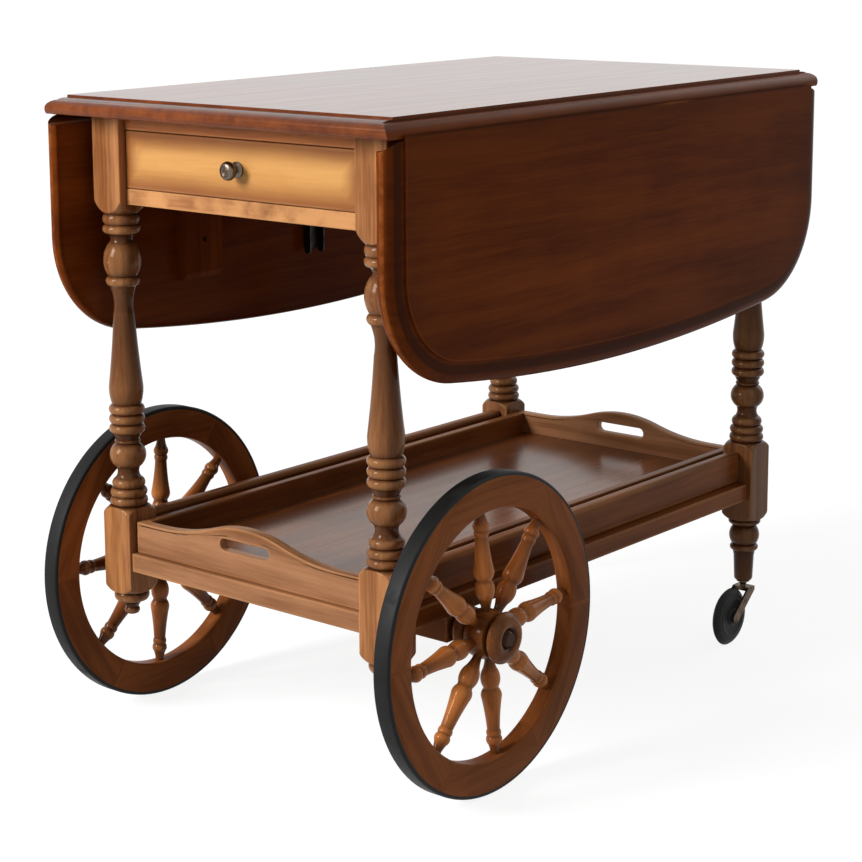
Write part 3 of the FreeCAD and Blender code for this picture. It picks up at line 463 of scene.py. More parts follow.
def laid(surface, middle, side):
    """A surface about Z laid about X with its top towards the given side, at a wheel's middle."""
    x, y, z = surface["points"].T
    about_x = np.stack([side * z, x, y], axis=1)
    return dict(flipped(surface) if side < 0 else surface, points=about_x + middle)


# Materials

def add(tree, kind, inputs=None, **settings):
    """A node with its settings, and inputs by name or number: a value, or the socket that it follows."""
    node = tree.nodes.new(kind)
    for key, value in settings.items():
        setattr(node, key, value)
    for key, value in (inputs or {}).items():
        if isinstance(value, bpy.types.NodeSocket):
            tree.links.new(value, node.inputs[key])
        else:
            node.inputs[key].default_value = value
    return node


def opaque(colour):
    """A colour with full alpha."""
    return (*colour, 1.0)


def blank_material(name):
    """A new material with only a shader and an output."""
    material = bpy.data.materials.new(name)
    material.use_nodes = True
    return material, material.node_tree, material.node_tree.nodes["Principled BSDF"]


def ramp(tree, factor, stops):
    """Colour ramp through (place, colour) stops."""
    node = add(tree, "ShaderNodeValToRGB", {"Fac": factor})
    elements = node.color_ramp.elements
    while len(elements) < len(stops):
        elements.new(0.5)
    for element, (place, colour) in zip(elements, stops):
        element.position = place
        element.color = opaque(colour)
    return node.outputs["Color"]


def mixed(tree, factor, first, second):
    """Mix of a socket or an opaque colour with a plain colour."""
    inputs = {0: factor, 6: first, 7: opaque(second)}
    return add(tree, "ShaderNodeMix", inputs, data_type="RGBA", clamp_factor=True).outputs[2]


def sums(tree, operation, first, second, clamp=False):
    """One step of arithmetic."""
    return add(tree, "ShaderNodeMath", {0: first, 1: second}, operation=operation, use_clamp=clamp).outputs[0]


def span(tree, value, low, high):
    """0 below low, 1 above high, smooth between."""
    return add(tree, "ShaderNodeMapRange", {"Value": value, "From Min": low, "From Max": high},
               interpolation_type="SMOOTHSTEP", clamp=True).outputs["Result"]


def between(tree, share, low, high):
    """A value that goes from low to high with a share."""
    inputs = {"Value": share, "To Min": low, "To Max": high}
    return add(tree, "ShaderNodeMapRange", inputs).outputs["Result"]


def noise(tree, vector, scale, detail, roughness=0.5, distortion=0.0):
    """Noise from 0 to 1."""
    return add(tree, "ShaderNodeTexNoise", {"Vector": vector, "Scale": scale, "Detail": detail,
                                            "Roughness": roughness, "Distortion": distortion}).outputs["Fac"]


def surfaced(tree, shader, colour, roughness, height, relief, distance):
    """Links a colour, a roughness and a bump from a height to a shader."""
    bump = add(tree, "ShaderNodeBump", {"Height": height, "Strength": relief, "Distance": distance})
    tree.links.new(colour, shader.inputs["Base Color"])
    tree.links.new(roughness, shader.inputs["Roughness"])
    tree.links.new(bump.outputs["Normal"], shader.inputs["Normal"])


# Wood grain: noise scales per metre, how far the grain is drawn out along the wood, and shares of the tone
GRAIN_STRETCH = 0.055
PORE_STRETCH = 0.12
WANDER_SCALE = 3.0
WANDER_REACH = 0.016
STREAK_SCALE = 34.0
FIBRE_SCALE = 330.0
FIBRE_SHARE = 0.34
CLOUD_SCALE = 7.5
CLOUD_SHARE = 0.45
PORE_SCALE = 900.0
PORE_SHARE = 0.22
RUB_SCALE = 70.0
BALD_SCALE = 24.0
MIDDLE_TONE = 0.58
RUBBED_ROUGHNESS = 0.22
GRAIN_RELIEF = 0.0005

# Rubber's dust and fading, and the brown that tarnish turns metal to
RUBBER_DUST = 0.030
RUBBER_FADE = 2.4
TARNISH_TINT = (0.34, 0.27, 0.22)


def stretched(tree, place, along):
    """A place drawn out along the grain."""
    return add(tree, "ShaderNodeMapping", {"Vector": place, "Scale": (1.0, 1.0, along)}).outputs["Vector"]


def wood(name, grain, roughness, worn=0.35, groove=0.6, specular=0.2, coat=0.0, figure=0.5, lift=(1.0, 1.0),
         relief=0.12, burst=0.0, edge_colour="toner", worn_colour="worn", patches=0.0, dull=0.0, coat_ior=1.5,
         coat_roughness=0.12, turned_axes=None):
    """Varnished wood. Its grain runs along the last axis of the piece's grain place, or of its object place
    turned by turned_axes. Long streaks, fine fibres and short pores shade from dark to light, toner darkens
    grooves and burst edges, and the varnish is rubbed thin along edges and in patches. Burst edges lose
    dull of their coat. On the rear legs and the left wheel's spokes the burst is partly painted shade,
    which the toner darkens the same way."""
    look = finish()
    dark = np.array(getattr(look, grain + "_dark")) * lift[0]
    light = np.array(getattr(look, grain + "_light")) * lift[1]
    material, tree, shader = blank_material(name)
    if turned_axes is None:
        place = add(tree, "ShaderNodeAttribute", attribute_name="grain").outputs["Vector"]
    else:
        source = add(tree, "ShaderNodeTexCoord").outputs["Object"]
        place = add(tree, "ShaderNodeMapping", {"Vector": source, "Rotation": turned_axes}).outputs["Vector"]
    wander = add(tree, "ShaderNodeTexNoise", {"Vector": place, "Scale": WANDER_SCALE, "Detail": 2.0})
    wander = add(tree, "ShaderNodeVectorMath",
                 {0: wander.outputs["Color"], 1: (WANDER_REACH, WANDER_REACH, 0.0)}, operation="MULTIPLY")
    bent = add(tree, "ShaderNodeVectorMath", {0: place, 1: wander.outputs[0]}, operation="ADD").outputs[0]
    long_place = stretched(tree, bent, GRAIN_STRETCH)
    streak = noise(tree, long_place, STREAK_SCALE, 5.0, 0.62, 0.35)
    fibre = noise(tree, long_place, FIBRE_SCALE, 4.0, 0.6)
    pore = noise(tree, stretched(tree, bent, PORE_STRETCH), PORE_SCALE, 2.0, 0.5)
    cloud = noise(tree, place, CLOUD_SCALE, 3.0, 0.55)
    uneven = noise(tree, long_place, RUB_SCALE, 4.0, 0.6)
    clouding = sums(tree, "SUBTRACT", cloud, 0.5)
    tone = sums(tree, "ADD", streak, sums(tree, "MULTIPLY", fibre, FIBRE_SHARE))
    tone = sums(tree, "ADD", tone, sums(tree, "MULTIPLY", clouding, CLOUD_SHARE))
    low = 0.66 - 0.34 * figure
    tone = span(tree, tone, low - 0.10, low + 0.62)
    middle = (1 - MIDDLE_TONE) * dark + MIDDLE_TONE * light
    colour = ramp(tree, tone, [(0.0, dark), (0.5, middle), (1.0, light)])
    flecks = sums(tree, "MULTIPLY", span(tree, pore, 0.66, 0.78), PORE_SHARE)
    colour = mixed(tree, flecks, colour, look.toner)
    wear = add(tree, "ShaderNodeAttribute", attribute_name="wear").outputs["Fac"]
    edge = add(tree, "ShaderNodeAttribute", attribute_name="burst").outputs["Fac"]
    hollow = sums(tree, "MULTIPLY", sums(tree, "MULTIPLY", wear, -1.0, True), groove)
    colour = mixed(tree, hollow, colour, look.toner)
    # Burst: toner along the burst attribute, which on the rear legs and the left wheel's spokes is partly
    # painted shade.
    if burst:
        ragged = sums(tree, "ADD", edge, sums(tree, "MULTIPLY", clouding, 0.5))
        shade = sums(tree, "MULTIPLY", span(tree, ragged, 0.0, 1.1), burst)
        colour = mixed(tree, shade, colour, getattr(look, edge_colour))
    rubbed = sums(tree, "MULTIPLY", sums(tree, "MAXIMUM", wear, 0.0), span(tree, uneven, 0.25, 0.70))
    rubbed = sums(tree, "MULTIPLY", rubbed, worn)
    if patches:
        bald = span(tree, noise(tree, place, BALD_SCALE, 4.0, 0.5), 0.36, 0.62)
        rubbed = sums(tree, "MAXIMUM", rubbed, sums(tree, "MULTIPLY", bald, patches))
    colour = mixed(tree, rubbed, colour, getattr(look, worn_colour))
    gloss = add(tree, "ShaderNodeMapRange", {"Value": uneven, "From Min": 0.3, "From Max": 0.7,
                                             "To Min": roughness - 0.02, "To Max": roughness + 0.04})
    gloss = sums(tree, "ADD", gloss.outputs["Result"], sums(tree, "MULTIPLY", rubbed, RUBBED_ROUGHNESS))
    height = sums(tree, "ADD", sums(tree, "MULTIPLY", fibre, 0.6), sums(tree, "MULTIPLY", uneven, 0.6))
    settings = {"Specular IOR Level": specular, "Specular Tint": opaque(look.sheen), "Coat Weight": coat,
                "Coat Roughness": coat_roughness, "Coat IOR": coat_ior}
    for socket, value in settings.items():
        shader.inputs[socket].default_value = value
    if dull:
        kept = sums(tree, "SUBTRACT", coat, sums(tree, "MULTIPLY", edge, dull), True)
        tree.links.new(kept, shader.inputs["Coat Weight"])
    surfaced(tree, shader, colour, gloss, height, relief, GRAIN_RELIEF)
    return material


def rubber(name):
    """Old black rubber: scuffed grey in patches, dusty, paler at its worn corners, with a matt surface."""
    look = finish()
    material, tree, shader = blank_material(name)
    place = add(tree, "ShaderNodeTexCoord").outputs["Object"]
    scuff = span(tree, noise(tree, place, 42.0, 6.0, 0.7), 0.50, 0.74)
    dust = noise(tree, place, 420.0, 3.0, 0.6)
    wear = add(tree, "ShaderNodeAttribute", attribute_name="wear").outputs["Fac"]
    grey = sums(tree, "ADD", sums(tree, "MULTIPLY", scuff, 0.20), sums(tree, "MULTIPLY", dust, 0.08))
    grey = sums(tree, "ADD", grey, sums(tree, "MULTIPLY", sums(tree, "MAXIMUM", wear, 0.0), 0.22), True)
    pale = RUBBER_DUST + RUBBER_FADE * np.array(look.rubber)
    colour = mixed(tree, grey, opaque(look.rubber), pale)
    rough = between(tree, scuff, 0.48, 0.72)
    shader.inputs["Specular IOR Level"].default_value = 0.12
    surfaced(tree, shader, colour, rough, dust, 0.22, 0.0004)
    return material


def metal(name, metal_colour, shine, tarnish):
    """Aged metal: brown tarnish in clouds, brighter where it is handled, with fine pits."""
    bright = getattr(finish(), metal_colour)
    material, tree, shader = blank_material(name)
    place = add(tree, "ShaderNodeTexCoord").outputs["Object"]
    cloud = noise(tree, place, 90.0, 5.0, 0.65)
    pits = noise(tree, place, 800.0, 3.0, 0.6)
    wear = add(tree, "ShaderNodeAttribute", attribute_name="wear").outputs["Fac"]
    stain = span(tree, cloud, 0.62 - 0.3 * tarnish, 0.74)
    stain = sums(tree, "SUBTRACT", stain, sums(tree, "MULTIPLY", wear, 0.5), True)
    brown = np.array(bright) * TARNISH_TINT
    colour = mixed(tree, stain, opaque(bright), brown)
    rough = sums(tree, "ADD", sums(tree, "MULTIPLY", stain, 0.22), sums(tree, "MULTIPLY", pits, 0.1))
    rough = sums(tree, "ADD", rough, shine)
    shader.inputs["Metallic"].default_value = 1.0
    surfaced(tree, shader, colour, rough, pits, 0.12, 0.0003)
    return material


BARE = dict(grain="bare", roughness=0.7, worn=0.2, groove=0.2)
WOODS = {
    "varnished top": dict(grain="top", roughness=0.30, worn=0.15, groove=0.9, specular=0.06, coat=1.0,
                          relief=0.02, worn_colour="chip", dull=0.95, coat_ior=1.2, coat_roughness=0.19),
    "varnished leaf": dict(grain="top", roughness=0.32, worn=0.5, groove=0.9, specular=0.0, coat=1.0,
                           figure=0.55, relief=0.05, burst=0.28, worn_colour="chip", coat_ior=1.08,
                           coat_roughness=0.19),
    "leaf cleat": dict(grain="top", roughness=0.5, worn=0.2, groove=0.5, specular=0.03, figure=0.55,
                       relief=0.10, turned_axes=(0, 0, 0)),
    "varnished leg": dict(grain="frame", roughness=0.18, worn=0.5, groove=0.95, specular=0.08, coat=0.10,
                          relief=0.10, burst=0.85),
    "varnished rail": dict(grain="rim", roughness=0.30, specular=0.06, coat=0.02),
    # Painted shade: the front rail takes the rim's darker wood, so that it looks shaded under the top's
    # overhang.
    "front rail": dict(grain="rim", lift=(1.7, 2.0), roughness=0.33, worn=0.3, coat=0.1),
    "rubbed rail": dict(grain="frame", roughness=0.42, worn=0.6, patches=0.75),
    "honey drawer front": dict(grain="honey", roughness=0.30, worn=0.3, coat=0.12, figure=0.75, relief=0.06,
                               burst=0.95, edge_colour="honey_edge"),
    "amber tray": dict(grain="amber", roughness=0.34, worn=0.45, coat=0.05),
    "dark tray floor": dict(grain="rim", roughness=0.24, worn=0.0, specular=0.3, coat=0.12, figure=0.45,
                            relief=0.03, burst=0.3),
    "wheel rim": dict(grain="rim", lift=(1.25, 1.25), roughness=0.36, specular=0.06, worn_colour="chip"),
    "wheel hub": dict(grain="rim", roughness=0.20, worn=0.12, groove=0.95, specular=0.07, coat=0.08),
    "amber spoke": dict(grain="spoke", roughness=0.18, groove=0.9, specular=0.10, coat=0.10, figure=0.6,
                        relief=0.10, burst=0.75),
    "bare wood along y": dict(BARE, turned_axes=(math.radians(90), 0, 0)),
    "bare wood along x": dict(BARE, turned_axes=(0, math.radians(90), 0)),
}
METALS = {
    "bronze plate": dict(metal_colour="bronze", shine=0.34, tarnish=0.7),
    "antique brass": dict(metal_colour="brass", shine=0.24, tarnish=0.6),
    "dull steel": dict(metal_colour="steel", shine=0.36, tarnish=0.6),
}
RUBBER = "old rubber"


def material(name):
    """The named finish, made the first time it is asked for."""
    made = bpy.data.materials.get(name)
    if made:
        return made
    if name in WOODS:
        return wood(name, **WOODS[name])
    if name == RUBBER:
        return rubber(name)
    return metal(name, **METALS[name])


def dress(node, name):
    """Gives a CAD node that stays a better material."""
    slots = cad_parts[node].material_slots
    for slot in slots:
        slot.material = material(name)
    if not slots:
        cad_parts[node].data.materials.append(material(name))


# Top and leaves: the moulding and the rule joint that they share, in millimetres

MOULD_INSET = 23.0
MOULD_STEP = 2.5
MOULD_FILLET = 2.0
MOULD_NOSE = 11.6
MOULD_UNDER = 4.0
RULE_FILLET = 4.5
RULE_RADIUS = 12.0
RULE_GAP = 3.0
LIP_GAP = 0.5
BOARD_THICK = TOP_HIGH[2] - TOP_LOW[2]
PIN_X = TOP_HIGH[0] - RULE_RADIUS
PIN_Z = TOP_HIGH[2] - RULE_FILLET - RULE_RADIUS
LEAF_WIDTH = 272.5
LEAF_CORNER = 117.0
LEAF_BOW = 34.0
LEAF_HANG = 90.0
TOP_FADE = (1.6, 1.0, 0.5)
TOP_RIM = (3.0, 0.35)
LEAF_FADE = (64.0, 48.0, 34.0, 20.0, 9.0, 3.0, 0.4)
CHIP_PLACE = 0.22
CHIP_SPREAD = 0.11
GROOVE_WIDTH = 1.5
UNDER_INSET = 8.0
TOP_CORNERS = ((-1, -1), (0, -1), (1, -1), (1, -1), (1, 0), (1, 1),
               (1, 1), (0, 1), (-1, 1), (-1, 1), (-1, 0), (-1, -1))
TOP_SIDES = (0, 0, 0, 1, 1, 1, 0, 0, 0, 1, 1, 1)


def moulding_inset(drop):
    """Inset of the thumbnail moulding at a drop below the face: a step, then a quarter ellipse out to the
    nose, 1 - sqrt(1 - t t) of its width, and a flatter one under it."""
    rise = np.clip((MOULD_NOSE - drop) / (MOULD_NOSE - MOULD_STEP), 0, 1)
    fall = np.clip((drop - MOULD_NOSE) / (BOARD_THICK - MOULD_NOSE), 0, 1)
    ovolo = (MOULD_INSET - MOULD_FILLET) * (1 - np.sqrt(1 - rise ** 2))
    under = MOULD_UNDER * (1 - np.sqrt(1 - fall ** 2))
    return np.where(drop < MOULD_STEP, MOULD_INSET, ovolo + under)


def moulding_drops(extra):
    """Drops of the rows down a moulded edge, closer together where the ovolo is flat, with a doubled row at
    the step, which is nudged up so that it still has the full inset."""
    turn = np.linspace(0, math.pi / 2, 13)
    ovolo = MOULD_NOSE - (MOULD_NOSE - MOULD_STEP) * np.cos(turn)
    under = MOULD_NOSE + (BOARD_THICK - MOULD_NOSE) * np.sin(np.linspace(0, math.pi / 2, 7))
    step = np.array([0.0, 0.25, MOULD_STEP - 1e-4])
    return np.unique(np.round(np.concatenate([step, ovolo, under, extra]), 5))


def moulding_wear(drops, reach, nose, face, groove):
    """Wear down a moulded edge: rubbed along its nose, and dark in the groove under its step."""
    wear = np.where(np.abs(drops - MOULD_NOSE) < reach, nose, face)
    return np.where((drops > MOULD_STEP) & (drops < MOULD_STEP + GROOVE_WIDTH), groove, wear)


def top_surface():
    """Top: rows of rectangles down its moulded ends and its rule joint sides, whose half width at b below the
    fillet is pin + sqrt(R R - (R - b) (R - b)). The corners are doubled, a millimetre apart, so that the
    long sides alone can be dulled."""
    burst = sizes().burst / MM
    ovolo = RULE_FILLET + RULE_RADIUS * (1 - np.sin(np.linspace(0, math.pi / 2, 12)))
    drops = moulding_drops(np.concatenate([ovolo, [RULE_FILLET]]))
    below = np.clip(drops - RULE_FILLET, 0, RULE_RADIUS)
    bulge = np.sqrt(RULE_RADIUS ** 2 - (RULE_RADIUS - below) ** 2)
    half_x = PIN_X + np.where(drops <= RULE_FILLET, 0.0, bulge)
    half_y = HALF_LENGTH - moulding_inset(drops)
    wear = moulding_wear(drops, reach=3.5, nose=0.7, face=0.15, groove=-0.6)
    insets = np.concatenate([burst * np.array(TOP_FADE), TOP_RIM])
    half_x = np.concatenate([half_x[0] - insets, half_x, half_x[-1:] - UNDER_INSET])
    half_y = np.concatenate([half_y[0] - insets, half_y, half_y[-1:] - UNDER_INSET])
    drops = np.concatenate([insets * 0.0, drops, drops[-1:]])
    wear = np.concatenate([[0.0, 0.0, 0.0, 0.0, 0.4], wear, [0.0]])
    corners = np.array(TOP_CORNERS)
    side = np.array(TOP_SIDES)
    x = half_x[:, None] * corners[:, 0]
    y = half_y[:, None] * corners[:, 1] - side * corners[:, 1] + MIDDLE_Y
    z = np.broadcast_to(TOP_HIGH[2] - drops[:, None], x.shape)
    points = np.stack([x, y, z], axis=-1)
    return loft(points, own_grain(points, "y", 0), wear[:, None], (drops > 0)[:, None] * side)


class TROLLEY_OT_top(bpy.types.Operator):
    """Makes the top"""

    bl_idname = "trolley.top"
    bl_label = "Top"

    def execute(self, context):
        piece("top_board", top_surface(), "frame", "varnished top")
        return {"FINISHED"}


def leaf_outline():
    """Places on a level leaf's outline and their outward normals, from the front hinge corner round its free
    edges to the rear one: a line, a corner arc, the bow's arc, a corner arc and a line. The lines' places
    are shares of the way from the hinge edge to the corner."""
    tip = PIN_X + LEAF_WIDTH
    bow = (HALF_LENGTH ** 2 + LEAF_BOW ** 2) / (2 * LEAF_BOW)
    corner_y = HALF_LENGTH - LEAF_CORNER
    corner_x = tip - bow + math.sqrt((bow - LEAF_CORNER) ** 2 - corner_y ** 2)
    lean = math.atan2(corner_y, corner_x - tip + bow)
    turn = np.linspace(math.pi / 2, lean, 22)
    swing = np.linspace(lean, -lean, 46)
    arcs = (((corner_x, corner_y), LEAF_CORNER, turn), ((tip - bow, 0.0), bow, swing[1:-1]),
            ((corner_x, -corner_y), LEAF_CORNER, -turn[::-1]))
    places = []
    normals = []
    for centre, radius, angle in arcs:
        normals.append(np.stack([np.cos(angle), np.sin(angle)], axis=1))
        places.append(np.array(centre) + radius * normals[-1])
    return np.concatenate(places), np.concatenate(normals), corner_x


def leaf_surface(number):
    """Right leaf: rows of outlines down its thickness. A row is the free edges moved in by the moulding's
    inset and closed along the cove, x = pin + sqrt(R R - (z - pin) (z - pin)), then swung down to hang."""
    cove = RULE_RADIUS + RULE_GAP
    rise = cove * np.sin(np.linspace(math.pi / 2, -0.2, 18))
    drops = moulding_drops(np.clip(TOP_HIGH[2] - PIN_Z - rise, 0, BOARD_THICK))
    z = TOP_HIGH[2] - drops
    hinge = PIN_X + np.maximum(LIP_GAP, np.sqrt(np.maximum(cove ** 2 - (z - PIN_Z) ** 2, 0)))
    hinge = np.where(z - PIN_Z > cove, PIN_X + LIP_GAP, hinge)
    inset = moulding_inset(drops)
    wear = moulding_wear(drops, reach=2.5, nose=0.55, face=0.0, groove=-0.8)
    steps = np.array(LEAF_FADE)
    inset = np.concatenate([inset[0] + steps, inset, inset[-1:] + [6.0, 40.0]])
    hinge = np.concatenate([hinge[0] + steps, hinge, hinge[-1:] + [2.0, 20.0]])
    z = np.concatenate([z[0] + 0.0 * steps, z, z[-1:] + [0.0, 0.0]])
    dark = np.concatenate([np.clip(1.0 - steps / LEAF_FADE[0], 0, 1), np.ones(len(wear)), [0.6, 0.0]])
    wear = np.concatenate([[0.0, 0.0, 0.0, 0.0, 0.0, 0.0, 0.3], wear, [0.2, 0.0]])
    places, normals, corner_x = leaf_outline()
    curve = places[None] - inset[:, None, None] * normals[None]
    share = np.linspace(0, 1, 8)[:-1]
    line_x = hinge[:, None] + share * (corner_x - hinge[:, None])
    end = (HALF_LENGTH - inset)[:, None] * np.ones_like(share)
    across = np.linspace(-1, 1, 34)[1:-1]
    close_y = (HALF_LENGTH - inset)[:, None] * across
    close_x = hinge[:, None] * np.ones_like(across)
    x = np.concatenate([line_x, curve[..., 0], line_x[:, ::-1], close_x], axis=1)
    y = np.concatenate([end, curve[..., 1], -end, close_y], axis=1)
    level = np.stack([x, y + MIDDLE_Y, np.broadcast_to(z[:, None], x.shape)], axis=-1)
    chip = np.exp(-((across - CHIP_PLACE) / CHIP_SPREAD) ** 2)
    lip = np.concatenate([np.zeros(x.shape[1] - len(across)), 1.9 * chip - 0.9])
    near_lip = (z > TOP_HIGH[2] - RULE_FILLET) & (np.arange(len(z)) >= len(steps) - 1)
    wear = np.where(near_lip[:, None], np.where(lip == 0.0, wear[:, None], lip), wear[:, None])
    return loft(hung(level), own_grain(level, "y", number), wear, dark[:, None])


def hung(points):
    """Points of a level right leaf swung down about the hinge pins."""
    turn = math.radians(LEAF_HANG)
    x = points[..., 0] - PIN_X
    z = points[..., 2] - PIN_Z
    return np.stack([PIN_X + x * math.cos(turn) + z * math.sin(turn), points[..., 1],
                     PIN_Z - x * math.sin(turn) + z * math.cos(turn)], axis=-1)


def mirrored(surface):
    """The left hand twin of a right hand surface, with other grain."""
    return dict(flipped(surface), points=surface["points"] * [-1, 1, 1],
                grain=surface["grain"] + MIRROR_SHIFT)


class TROLLEY_OT_leaves(bpy.types.Operator):
    """Makes the two hanging leaves and gives their cleats a finish"""

    bl_idname = "trolley.leaves"
    bl_label = "Leaves"

    def execute(self, context):
        right = leaf_surface(3)
        for side, surface in (("right", right), ("left", mirrored(right))):
            piece("leaf_" + side, surface, side + "_leaf", "varnished leaf")
            dress("leaf_cleats_" + side, "leaf cleat")
        return {"FINISHED"}


# Legs, aprons and rails

LEG_SQUARE = 41.8
LEG_STOUT = LEG_SQUARE / 2 - 1.5
BLANK_POWER = 26.0
CORNER_SPREAD = 2.6
TURNING_TONE = 0.58
# Painted shade: the rear legs get extra toner on their blocks, and more on their turnings, to darken them as
# if shaded.
PAINTED_SHADE_RISE = 0.3
REAR_PAINTED_SHADE = 0.55
POMMEL_UPPER = 26.0
POMMEL_LOWER = 14.0
POMMEL_BELOW_APRON = 12.0
BLOCK_ABOVE_RAIL = 50.0
BLOCK_BELOW_RAIL = 29.0
APRON_LOW = millimetres("apron_left")[0][2]
RAIL_LOW = millimetres("shelf_rail_front")[0][2]
RAIL_HIGH = millimetres("shelf_rail_front")[1][2]


def leg_profile(below, foot):
    """(radius, depth) down a leg from the top's underside, wide enough to clear the blank at the blocks."""
    corner = LEG_SQUARE * math.sqrt(0.5) + 1.0
    shoulder = (corner + POMMEL_NECK) / 2 + (corner - POMMEL_NECK) * (1 - math.sqrt(0.5))
    block_end = APRON_LOW + POMMEL_UPPER - POMMEL_BELOW_APRON
    lower_top = RAIL_HIGH + BLOCK_ABOVE_RAIL
    lower_bottom = RAIL_LOW - BLOCK_BELOW_RAIL
    turnings = [(TOP_LOW[2] - block_end, None, corner), (POMMEL_UPPER, shoulder, POMMEL_NECK)]
    turnings += filled(LEG_TURNINGS, APRON_LOW - POMMEL_BELOW_APRON - lower_top)
    turnings += [(POMMEL_LOWER, shoulder, corner),
                 (lower_top - lower_bottom - 2 * POMMEL_LOWER, None, corner),
                 (POMMEL_LOWER, shoulder, POMMEL_NECK)]
    turnings += filled(below, lower_bottom - foot)
    return turned_profile(corner, turnings)


def leg_surface(middle, below, foot, number, tone):
    """Leg: radius at angle t is the lesser of the turned radius and the square blank's,
    half / (|cos t|^p + |sin t|^p)^(1/p), whose high power p eases the blank's corners. The toner on its
    blocks is tone, which is painted shade that darkens the rear legs, and it is stronger on the turnings
    and strongest where they are slender."""
    profile = leg_profile(below, foot)
    quarter = np.concatenate([np.linspace(0, 40, 9), np.linspace(42, 48, 9), np.linspace(50, 85, 8)])
    turn = (np.radians(quarter)[None] + np.arange(4)[:, None] * math.pi / 2).reshape(-1)
    spread = np.abs(np.cos(turn)) ** BLANK_POWER + np.abs(np.sin(turn)) ** BLANK_POWER
    blank = LEG_SQUARE / 2 / spread ** (1 / BLANK_POWER)
    points = swept(np.minimum(profile[:, :1], blank[None]), turn, -profile[:, 1:])
    points = points + [middle[0], middle[1], TOP_LOW[2]]
    square = profile[:, :1] > blank[None]
    corner = np.exp(-((np.degrees(turn) % 90 - 45) / CORNER_SPREAD) ** 2)
    wear = np.where(square, corner[None], crest_wear(profile)[:, None])
    least = TURNING_TONE + PAINTED_SHADE_RISE * tone
    # Real toner on the turnings, most where slender, plus painted shade on the rear legs through tone.
    toner_and_painted_shade = np.where(square, tone, least + (1 - least) * slender(profile, LEG_STOUT)[:, None])
    return loft(points, own_grain(points, "z", number), wear, toner_and_painted_shade)


class TROLLEY_OT_legs(bpy.types.Operator):
    """Makes the four turned legs"""

    bl_idname = "trolley.legs"
    bl_label = "Legs"

    def execute(self, context):
        # The last number of each leg is the painted shade that darkens the rear legs.
        legs = (("leg_front_left", DROP_TURNINGS, 0.0), ("leg_front_right", DROP_TURNINGS, 0.0),
                ("leg_rear_left", FOOT_TURNINGS, REAR_PAINTED_SHADE), ("leg_rear_right", FOOT_TURNINGS, REAR_PAINTED_SHADE))
        for number, (node, below, tone) in enumerate(legs):
            low, high = millimetres(node)
            surface = leg_surface((low + high) / 2, below, low[2], number, tone)
            piece(node, surface, "frame", "varnished leg", TURNED_CREASE)
        return {"FINISHED"}


def board_piece(node, body, along, number, finish_name, burst=0.0, ease=None):
    """A board with eased edges in a CAD node's box."""
    low, high = millimetres(node)
    piece(node, board(low, high, along, number, ease, burst), body, finish_name)


# Boards as (node, grain's axis, finish), and the number that the first one's grain has
# The upper drawer rail's finish is darkened with painted shade.
APRONS = (("apron_left", "y", "varnished rail"), ("apron_right", "y", "varnished rail"),
          ("apron_back", "x", "varnished rail"), ("drawer_rail_upper", "x", "front rail"),
          ("drawer_rail_lower", "x", "rubbed rail"))
APRON_GRAIN = 10
SHELF = (("shelf_rail_front", "x", "amber tray"), ("shelf_rail_rear", "x", "varnished rail"),
         ("shelf_rail_left", "y", "varnished rail"), ("shelf_rail_right", "y", "varnished rail"),
         ("axle_beam", "x", "varnished rail"))
SHELF_GRAIN = 20
FENCE_GRAIN = 27
FENCE_EASE = 4.0


class TROLLEY_OT_aprons(bpy.types.Operator):
    """Makes the aprons and the two rails round the drawer"""

    bl_idname = "trolley.aprons"
    bl_label = "Aprons"

    def execute(self, context):
        for number, (node, along, name) in enumerate(APRONS, APRON_GRAIN):
            board_piece(node, "frame", along, number, name)
        return {"FINISHED"}


class TROLLEY_OT_shelf(bpy.types.Operator):
    """Makes the lower shelf's rails, its fence boards and the axle beam"""

    bl_idname = "trolley.shelf"
    bl_label = "Shelf"

    def execute(self, context):
        for number, (node, along, name) in enumerate(SHELF, SHELF_GRAIN):
            board_piece(node, "frame", along, number, name)
        for number, side in enumerate(SIDES, FENCE_GRAIN):
            board_piece("shelf_fence_" + side, "frame", "y", number, "varnished rail",
                        ease=FENCE_EASE)
        return {"FINISHED"}


# Drawer

KNOB_TIP_RADIUS = 6.0
KNOB_TURNINGS = [
    (9.0, 10.0, 8.0),
    (5.0, 4.4, 4.4),
    (3.0, 6.4, 8.5),
    (2.0, None, 8.5),
]
KNOB_RING = 2.4
KNOB_GROOVE = 0.9
KNOB_STEPS = 48
KNOB_GRAIN = 33
DRAWER_GRAIN = 30


def knob_surface():
    """Knob about Z with its face up. Over the face the depth is groove sin^2(pi r / ring), which makes
    concentric rings, and the turned stem follows."""
    radius = np.linspace(0.2, KNOB_TIP_RADIUS, 32)
    face = np.stack([radius, KNOB_GROOVE * np.sin(math.pi * radius / KNOB_RING) ** 2], axis=1)
    stem = turned_profile(KNOB_TIP_RADIUS, KNOB_TURNINGS)
    return turned(np.concatenate([face[:-1], stem]), KNOB_GRAIN, KNOB_STEPS)


class TROLLEY_OT_drawer(bpy.types.Operator):
    """Makes the drawer's front with its burst edges and the turned knob, and finishes its box"""

    bl_idname = "trolley.drawer"
    bl_label = "Drawer"

    def execute(self, context):
        board_piece("drawer_front", "drawer", "x", DRAWER_GRAIN, "honey drawer front",
                    sizes().burst / MM)
        low, high = millimetres("drawer_knob")
        middle = (low + high) / 2
        knob = knob_surface()
        x, y, z = knob["points"].T
        knob["points"] = np.stack([x, -z, y], axis=1) + [middle[0], low[1], middle[2]]
        piece("drawer_knob", knob, "drawer", "antique brass")
        for side in SIDES:
            dress("drawer_side_" + side, "bare wood along y")
            dress("drawer_runner_" + side, "bare wood along y")
        for node in ("drawer_back", "drawer_bottom"):
            dress(node, "bare wood along x")
        return {"FINISHED"}


# Tray

